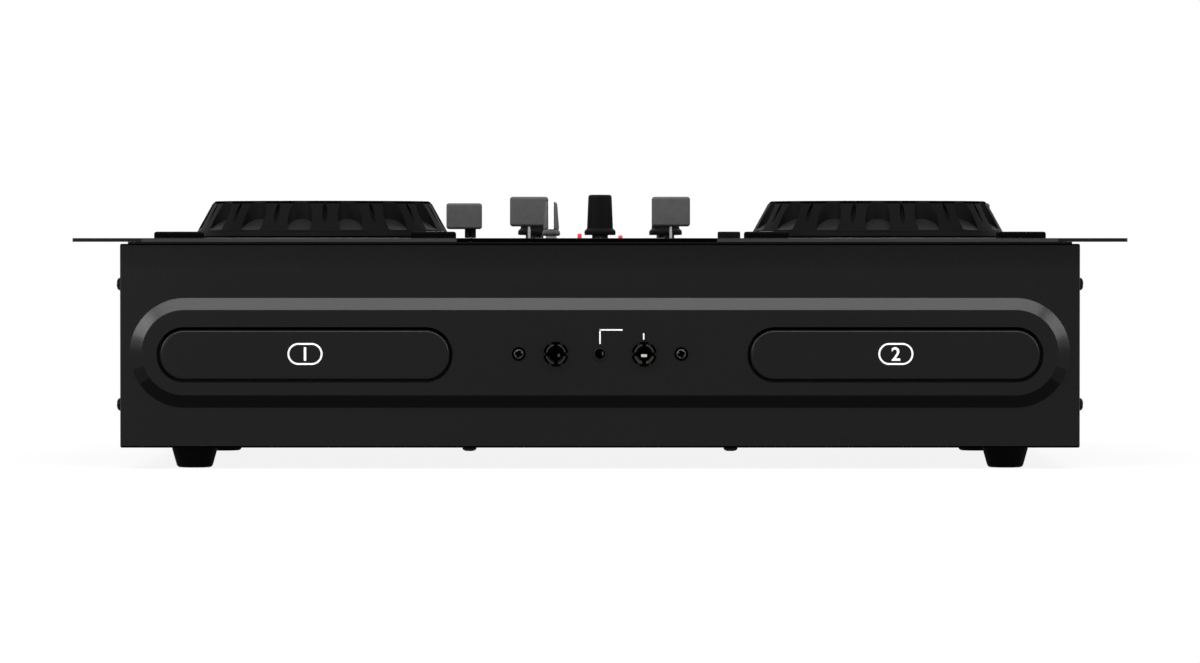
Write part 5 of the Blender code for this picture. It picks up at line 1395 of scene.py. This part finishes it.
class PLAYER_OT_knobs(bpy.types.Operator):
    """Rotary knobs with flared skirts and pointer lines"""

    bl_idname = "player.knobs"
    bl_label = "Knobs"

    def execute(self, context):
        for name, box in knobs():
            x, y, top = box.middle.x, box.middle.y, box.high.z
            low = TOP + 0.0015
            profile = [
                (0, top - 0.0003), (0.0040, top - 0.0003), (0.0045, top), (0.0050, top - 0.0001),
                (0.0054, top - 0.0005), (0.0056, top - 0.0011), (0.0062, low + 0.0034),
                (0.0064, low + 0.0029), (0.0069, low + 0.0025), (0.0073, low + 0.0021),
                (0.00745, low + 0.0015), (0.00745, low + 0.0005), (0.0072, low), (0.0030, low),
                (0.0030, low + 0.001), (0, low + 0.001),
            ]
            shaft = rod(0.0038, (x, y, box.low.z), low + 0.0004 - box.low.z, sides=48)
            piece = Piece(name + "_form", name, "plastic", (name,))
            piece.add(key_rubber(), lathe(profile, (x, y, 0), "Z", 64)).add(blackened(), shaft)
            line = slab((x, y + 0.0031, top - 0.0002), (0.0009, 0.0034, 0.0006), 0.0001, 1)
            tilt = math.atan2(0.0006, top - low - 0.0045)
            strip = slab((0, 0, 0), (0.0009, 0.0006, 0.0100))
            place = Matrix.Translation((x, y + 0.00555, top - 0.0064)) @ Matrix.Rotation(tilt, 4, "X")
            piece.add(ink(), line, moved(strip, place)).done(40)
        return {"FINISHED"}


class PLAYER_OT_faders(bpy.types.Operator):
    """Caps and levers of the channel faders, the pitch faders and the crossfader"""

    bl_idname = "player.faders"
    bl_label = "Faders"

    def cap(self, x, y, low, high, width, depth, top_width, top_depth, scoop):
        """A cap that narrows upwards, with a scoop across its top for a fingertip."""
        form = block((x - width / 2, y - depth / 2, low), (x + width / 2, y + depth / 2, high))
        for vert in form.verts:
            if vert.co.z > (low + high) / 2:
                vert.co.x = x + math.copysign(top_width / 2, vert.co.x - x)
                vert.co.y = y + math.copysign(top_depth / 2, vert.co.y - y)
        soften(form, sizes().cap_edge, 4, angle=40)
        if scoop:
            reach = top_depth * 0.3
            radius = (reach * reach + scoop * scoop) / (2 * scoop)
            form = cut(form, rod(radius, (x - width, y, high + radius - scoop), 2 * width, "X", 96))
        return form

    def execute(self, context):
        top_share, scoop = 0.9, 0.0012
        for _, label in SIDES:
            for name in (f"channel_fader_{label}", f"pitch_fader_{label}"):
                box = Box(name)
                x, y, top = box.middle.x, box.middle.y, box.high.z
                low = TOP + (0.0055 if name.startswith("channel") else 0.0044)
                stem_x = x if name.startswith("channel") else pitch_slot(label)
                width, depth = box.size.x, box.size.y
                form = self.cap(x, y, low, top, width, depth, width, depth * top_share, scoop)
                piece = Piece(name + "_form", name, "caps", (name,))
                piece.add(cap_plastic(), form)
                piece.add(steel(), block((stem_x - 0.0007, y - 0.0025, box.low.z),
                                         (stem_x + 0.0007, y + 0.0025, low + 0.001), 0.0002, 1))
                if name.startswith("pitch"):
                    stem = block((stem_x - 0.0027, y - 0.0025, TOP + 0.0001),
                                 (stem_x + 0.0027, y + 0.0025, low + 0.001), 0.0003, 2)
                    piece.add(moulding(), stem)
                piece.add(ink(), slab((x, y, top - 0.00118), (width - 0.0016, 0.0007, 0.0001))).done(40)
        box = Box("crossfader")
        x, y, top = box.middle.x, box.middle.y, box.high.z
        low = TOP + 0.0010
        piece = Piece("crossfader_form", "crossfader", "caps", ("crossfader",))
        base = self.cap(x, y, low, low + 0.0032, 0.0088, 0.0180, 0.0071, 0.0180, 0)
        upper = self.cap(x, y, low + 0.0024, top, 0.0073, 0.0178, 0.0054, 0.0162, 0)
        piece.add(cap_plastic(), base, upper)
        lean = math.atan2(0.0008, top - low - 0.0024)
        strip = slab((0, 0, 0), (0.0024, 0.0004, top - low - 0.0031))
        for hand in (-1, 1):
            place = Matrix.Translation((x, y + hand * 0.0086, (top + low) / 2 + 0.0015))
            piece.add(badge_white(), moved(strip.copy(), place @ Matrix.Rotation(hand * lean, 4, "X")))
        strip.free()
        piece.add(badge_white(), slab((x, y, top), (0.0024, 0.0160, 0.0001)))
        piece.add(steel(), block((x - 0.0025, y - 0.0009, box.low.z), (x + 0.0025, y + 0.0009, low + 0.001)))
        piece.done(40)
        return {"FINISHED"}


class PLAYER_OT_displays(bpy.types.Operator):
    """Display windows with the ghosts of their numbers, and the level lamps"""

    bl_idname = "player.displays"
    bl_label = "Displays and lamps"

    def execute(self, context):
        size = sizes()
        for _, label in SIDES:
            box = Box(f"display_{label}")
            x, y, top = box.middle.x, box.middle.y, box.high.z
            half = Vector(((box.size.x - 0.006) / 2, (box.size.y - 0.006) / 2))
            module_top = PLATE.low.z - 0.0003
            bezel_low = (x - half.x, y - half.y, module_top - 0.001)
            bezel = block(bezel_low, (x + half.x, y + half.y, top), 0.0004, 2)
            well = block((x - half.x + 0.005, y - half.y + 0.005, top - 0.0004),
                         (x + half.x - 0.005, y + half.y - 0.005, top + 0.001))
            piece = Piece(f"display_{label}_form", "console", "window", (f"display_{label}",))
            piece.add(dark_glass(), cut(bezel, well))
            piece.add(moulding(), block(box.low, (box.high.x, box.high.y, module_top), 0.0005, 1))
            ground = top - 0.0004
            piece.add(crystal(), block((x - half.x + 0.005, y - half.y + 0.005, ground - 0.0002),
                                       (x + half.x - 0.005, y + half.y - 0.005, ground + 0.00002)))
            marks = []
            for place in (-0.024, -0.014, 0.002, 0.012):
                marks.extend(self.digit(x + place, y + 0.0020, ground))
            for rise in (-0.002, 0.002):
                marks.append(slab((x - 0.006, y + 0.0020 + rise, ground), (0.0010, 0.0010, 0.0001)))
            for step in range(20):
                marks.append(slab((x - 0.0304 + step * 0.0032, y - 0.0090, ground), (0.0026, 0.0022, 0.0001)))
            piece.add(segment(), *marks).done()
        lamps = []
        for side, _ in SIDES:
            rise = size.lens_rise if side > 0 else size.lens_rise + 0.0008
            for step in range(10):
                y = PLATE.low.y + 0.0425 + step * 0.0060
                lamps.append(block(
                    (side * 0.0096 - size.lens_width / 2, y - size.lens_depth / 2, TOP - 0.0010),
                    (side * 0.0096 + size.lens_width / 2, y + size.lens_depth / 2, TOP + rise),
                    0.0006, 3,
                ))
        Piece("level_lamps", "console", "window").add(lamp_red(), *lamps).done()
        return {"FINISHED"}

    def digit(self, x, y, z):
        """Seven bars of one number."""
        wide, tall, bar = 0.0058, 0.0104, 0.0009
        bars = [slab((x, y + rise * tall / 2, z), (wide - 2 * bar, bar, 0.0001)) for rise in (-1, 0, 1)]
        for hand in (-1, 1):
            for rise in (-1, 1):
                bars.append(slab((x + hand * (wide - bar) / 2, y + rise * tall / 4, z),
                                 (bar, tall / 2 - bar, 0.0001)))
        return bars


class PLAYER_OT_sockets(bpy.types.Operator):
    """Front jacks with their nuts, phono sockets, mains inlet and mains rocker"""

    bl_idname = "player.sockets"
    bl_label = "Sockets"

    def execute(self, context):
        self.front_jacks()
        self.phono_sockets()
        inlet = softened("power_inlet", moulding(), "console", "plastic", 0.0004)
        inlet.repaint(nickel(), self.is_pin).done()
        softened("power_switch", moulding(), "power_switch", "plastic", 0.0006).done()
        return {"FINISHED"}

    def is_pin(self, face):
        inlet, middle = Box("power_inlet"), face.calc_center_median()
        deep = inlet.high.y - 0.0172 < middle.y < inlet.high.y - 0.002
        pins_x = inlet.middle.x - 0.0122
        return deep and any(
            abs(middle.x - (pins_x + across)) < 0.0013 and abs(middle.z - inlet.middle.z - rise) < 0.0023
            for across, rise in ((-0.007, 0), (0, 0.002), (0.007, 0))
        )

    def front_jacks(self):
        for name, nut, bush, bore in (
            ("mic_jack", 0.0057, 0.0045, 0.0033), ("phones_jack", 0.0057, 0.0045, 0.0033),
            ("phones_mini_jack", 0.0030, 0.0030, 0.0018),
        ):
            box = Box(name)
            x, z, face = box.middle.x, box.middle.z, box.low.y
            inner = CASE.low.y + 0.0015
            small = nut == bush
            body = block((box.low.x, inner, box.low.z), (box.high.x, box.high.y, box.high.z), 0.0006)
            body = cut(body, rod(bore, (x, inner - 0.002, z), box.high.y - inner - 0.001, "Y"))
            piece = Piece(name + "_form", "console", "plastic", (name,))
            piece.add(moulding(), body)
            turn = Matrix.Translation((x, face, z)) @ turn_to("-Y")
            collar = lathe([(bore, -0.0016), (bush - 0.0003, -0.0001), (bush, -0.0002), (bush, -0.0022),
                            (bore, -0.0022), (bore, -0.0016)], (x, face, z), "-Y", 64)
            if small:
                piece.add(blackened(), collar)
                contact = slab((x + 0.0012, face + 0.0030, z + 0.0003), (0.0010, 0.0010, 0.0022), 0.0002, 1)
                piece.add(collar_metal(), contact).done()
                continue
            gaps = [
                moved(slab((bush - 0.0004, 0, 0), (0.0030, 0.0018, 0.0060)),
                      turn @ Matrix.Rotation(math.pi / 2 * n, 4, "Z"))
                for n in range(4)
            ]
            piece.add(collar_metal(), cut(collar, *gaps))
            piece.add(deep_black(), ring(bore, bush, -0.0026, -0.0018, (x, face, z), "-Y", 64))
            washer = lathe([(bush + 0.0001, 0.0), (nut - 0.0003, 0.0), (nut, -0.0003), (nut, -0.0015),
                          (bush + 0.0001, -0.0015), (bush + 0.0001, 0.0)], (x, face + 0.0001, z), "-Y", 64)
            notches = [
                moved(slab((nut, 0, 0), (0.0024, 0.0014, 0.006)),
                      turn @ Matrix.Rotation(math.pi / 3 * n, 4, "Z"))
                for n in range(6)
            ]
            piece.add(deep_black(), cut(washer, *notches))
            if name == "mic_jack":
                contact = slab((x + 0.0014, face + 0.0042, z - 0.0006), (0.0012, 0.0030, 0.0015), 0.0003, 2)
                piece.add(collar_metal(), contact)
            else:
                piece.add(nickel(), slab((x, face + 0.0042, z - 0.0007), (0.0029, 0.0030, 0.0015), 0.0004, 2))
            piece.done()
        y = CASE.low.y
        screws = Piece("jack_screws", "console", "case")
        for side, _ in SIDES:
            spot = (side * 0.0372, y, 0.0529)
            screws.add(collar_metal(), cross_screw(0.0026, 0.0013, spot, "-Y", 0.30, 0.3 * side))
            screws.add(deep_black(), lathe([(0.0024, 0.0003), (0.0031, 0.0003), (0.0032, 0.0), (0.0024, 0.0),
                                            (0.0024, 0.0003)], spot, "-Y", 48))
        # Painted shade: the cross recesses and the lower sides of the heads dead black.
        screws.repaint(deep_black(), lambda face: face.calc_center_median().y > y - 0.00095).done()

    def phono_sockets(self):
        bank = Box("rca_bank")
        rear = CASE.high.y
        face = rear - 0.0006
        inner = rear - 0.0015
        x, z = bank.middle.x, bank.middle.z
        piece = Piece("phono_sockets", "console", "plastic", ("rca_bank",))
        piece.add(
            moulding(),
            block((bank.low.x, bank.low.y, bank.low.z), (bank.high.x, inner, bank.high.z), 0.0005, 1),
            slab((x, (face + inner) / 2 - 0.001, z),
                 (bank.size.x - 0.0066, face - inner + 0.002, bank.size.z - 0.0066)),
        )
        for column in range(4):
            across = x + (column - 1.5) * 0.020
            for row in (-1, 1):
                start = (across, face, z + row * 0.00825)
                piece.add(nickel(), lathe(
                    [(0.0036, 0.0085), (0.0040, 0.0085), (0.0042, 0.0082), (0.0042, 0.0018), (0.0056, 0.0015),
                     (0.0056, 0.0), (0.0036, 0.0), (0.0036, 0.0085)], start, "Y", 48))
                shade = white_ring() if row > 0 else red_ring()
                piece.add(shade, ring(0.0017, 0.0036, 0.0, 0.0079, start, "Y"))
                piece.add(blackened(), rod(0.00168, start, 0.0012, "Y", 24))
        piece.done()


class PLAYER_OT_feet(bpy.types.Operator):
    """Rubber feet with their screws"""

    bl_idname = "player.feet"
    bl_label = "Feet"

    def execute(self, context):
        profile = [
            (0, 0.0097), (0.0105, 0.0097), (0.01045, 0.0085), (0.0084, 0.0012), (0.0080, 0.0005),
            (0.0074, 0.0001), (0.0070, 0.0), (0.0035, 0.0), (0.0035, 0.005), (0, 0.005),
        ]
        for end in ("front", "rear"):
            for _, label in SIDES:
                name = f"foot_{end}_{label}"
                at = Box(name).middle
                piece = Piece(name + "_form", "console", "foot_rubber", (name,))
                piece.add(foot_rubber(), lathe(profile, (at.x, at.y, 0), "Z", 64))
                piece.add(steel(), cross_screw(0.0029, 0.0018, (at.x, at.y, 0.0050), "-Z")).done(40)
        return {"FINISHED"}


class PLAYER_OT_drives(bpy.types.Operator):
    """Disc drives and circuit boards inside the case"""

    bl_idname = "player.drives"
    bl_label = "Drives and boards"

    def execute(self, context):
        for _, label in SIDES:
            dress(f"drive_frame_{label}", frame_moulding())
            dress(f"traverse_{label}", steel())
            dress(f"pickup_{label}", moulding())
            dress(f"turntable_{label}", moulding())
            dress(f"disc_clamp_{label}", frame_moulding())
            dress(f"deck_board_{label}", laminate(*BOARD_UPPER))
        dress("mixer_board", laminate(*BOARD_UPPER))
        dress("main_board", laminate(*BOARD_LOWER))
        dress("power_supply", laminate(*BOARD_LOWER))
        return {"FINISHED"}


class PLAYER_OT_stage(bpy.types.Operator):
    """Pale studio: floor, soft lamps, white background and camera"""

    bl_idname = "player.stage"
    bl_label = "Studio"

    def execute(self, context):
        scene = context.scene
        scene.view_settings.view_transform = "Standard"
        self.floor()
        self.backdrop(scene)
        front_y, front_z = -0.133, 0.066
        self.lamp("key", (-0.05, -1.04, 1.73), (3.0, 0.26), 44, (-0.05, front_y, front_z))
        for side, label, power, low_power in ((-1, "left", 25, 3.2), (1, "right", 19, 2.4)):
            target = (side * 0.2, front_y, front_z)
            self.lamp(label, (side * 1.75, -0.97, 1.10), (0.32, 1.15), power, target)
            self.lamp(f"{label}_low", (side * 1.96, -1.11, 0.44), (0.32, 0.5), low_power, target)
        self.lamp("rear", (0, 1.0, 1.5), (2.0, 0.5), 9, (0, 0, 0.1))
        self.lamp("front_left", (-0.82, -2.4, 0.24), (0.4, 0.4), 3, (-0.15, -0.13, 0.07))
        data = bpy.data.cameras.new("camera")
        data.sensor_width = 36
        data.lens = 164.08
        data.clip_end = 30
        camera = bpy.data.objects.new("camera", data)
        camera.location = (0, -2.63295, 0.1055)
        camera.rotation_euler = (math.radians(90 - 0.969), 0, 0)
        scene.collection.objects.link(camera)
        scene.camera = camera
        return {"FINISHED"}

    def seen(self, nodes, links):
        """1 for rays from the camera and for those that mirror or pass the background."""
        path = nodes.new("ShaderNodeLightPath")
        total = None
        for ray in ("Is Camera Ray", "Is Glossy Ray", "Is Transmission Ray"):
            if total is None:
                total = path.outputs[ray]
                continue
            most = nodes.new("ShaderNodeMath")
            most.operation = "MAXIMUM"
            links.new(total, most.inputs[0])
            links.new(path.outputs[ray], most.inputs[1])
            total = most.outputs[0]
        return total

    def floor(self):
        bm = bmesh.new()
        bmesh.ops.create_grid(bm, x_segments=1, y_segments=1, size=12)
        data = bpy.data.meshes.new("floor")
        bm.to_mesh(data)
        bm.free()
        finish = Finish("studio_floor", {"Specular IOR Level": 0.1, "Roughness": 0.8})
        tone = finish.noise(finish.place(), 2, 2.0)
        pale = colours().floor
        finish.tone(tone, pale, 0.98, 1.02)
        nodes, links = finish.nodes, finish.links
        glow = nodes.new("ShaderNodeEmission")
        glow.inputs["Color"].default_value = (1, 1, 1, 1)
        x, y, _ = finish.axes(finish.place())
        away = finish.spread((x * x + y * y) ** 0.5, 0.3, 1.4, 0.88, 1.0)
        share = finish.node("ShaderNodeMath", {"operation": "MULTIPLY"}, {1: away})
        links.new(self.seen(nodes, links), share.socket.node.inputs[0])
        mix = nodes.new("ShaderNodeMixShader")
        links.new(share.socket, mix.inputs[0])
        links.new(finish.shader.outputs[0], mix.inputs[1])
        links.new(glow.outputs[0], mix.inputs[2])
        links.new(mix.outputs[0], nodes["Material Output"].inputs["Surface"])
        data.materials.append(finish.material)
        floor = bpy.data.objects.new("floor", data)
        bpy.context.scene.collection.objects.link(floor)

    def backdrop(self, scene):
        world = bpy.data.worlds.new("studio")
        world.use_nodes = True
        nodes, links = world.node_tree.nodes, world.node_tree.links
        for node in list(nodes):
            nodes.remove(node)
        room = nodes.new("ShaderNodeBackground")
        room.inputs["Color"].default_value = (1, 1, 1, 1)
        room.inputs["Strength"].default_value = 0.3
        white = nodes.new("ShaderNodeBackground")
        white.inputs["Color"].default_value = (1, 1, 1, 1)
        white.inputs["Strength"].default_value = 1
        mix = nodes.new("ShaderNodeMixShader")
        output = nodes.new("ShaderNodeOutputWorld")
        links.new(self.seen(nodes, links), mix.inputs[0])
        links.new(room.outputs[0], mix.inputs[1])
        links.new(white.outputs[0], mix.inputs[2])
        links.new(mix.outputs[0], output.inputs["Surface"])
        scene.world = world

    def lamp(self, name, place, size, power, target):
        data = bpy.data.lights.new(name, "AREA")
        data.shape = "RECTANGLE"
        data.size, data.size_y = size
        data.energy = power
        lamp = bpy.data.objects.new(name, data)
        lamp.location = place
        lamp.rotation_euler = (Vector(target) - Vector(place)).to_track_quat("-Z", "Y").to_euler()
        bpy.context.scene.collection.objects.link(lamp)


OPERATORS = (
    PLAYER_OT_case, PLAYER_OT_top_plate, PLAYER_OT_print, PLAYER_OT_tray_doors, PLAYER_OT_disc_trays,
    PLAYER_OT_jog_wheels, PLAYER_OT_keys, PLAYER_OT_knobs, PLAYER_OT_faders, PLAYER_OT_displays,
    PLAYER_OT_sockets, PLAYER_OT_feet, PLAYER_OT_drives, PLAYER_OT_stage,
)


class PLAYER_PT_panel(bpy.types.Panel):
    """Sizes, colours and steps of the player"""

    bl_label = "Twin disc player"
    bl_idname = "PLAYER_PT_panel"
    bl_space_type = "VIEW_3D"
    bl_region_type = "UI"
    bl_category = "Player"

    def draw(self, context):
        for group in (context.scene.player_sizes, context.scene.player_colours):
            column = self.layout.column(align=True)
            for name in type(group).__annotations__:
                column.prop(group, name)
        for operator in OPERATORS:
            self.layout.operator(operator.bl_idname)


def register():
    for kind in (PlayerSizes, PlayerColours, *OPERATORS, PLAYER_PT_panel):
        bpy.utils.register_class(kind)
    bpy.types.Scene.player_sizes = bpy.props.PointerProperty(type=PlayerSizes)
    bpy.types.Scene.player_colours = bpy.props.PointerProperty(type=PlayerColours)


def unregister():
    del bpy.types.Scene.player_sizes
    del bpy.types.Scene.player_colours
    for kind in reversed((PlayerSizes, PlayerColours, *OPERATORS, PLAYER_PT_panel)):
        bpy.utils.unregister_class(kind)


def main():
    register()
    for operator in OPERATORS:
        step = operator.bl_idname.split(".")[1]
        getattr(bpy.ops.player, step)()


if __name__ == "__main__":
    main()
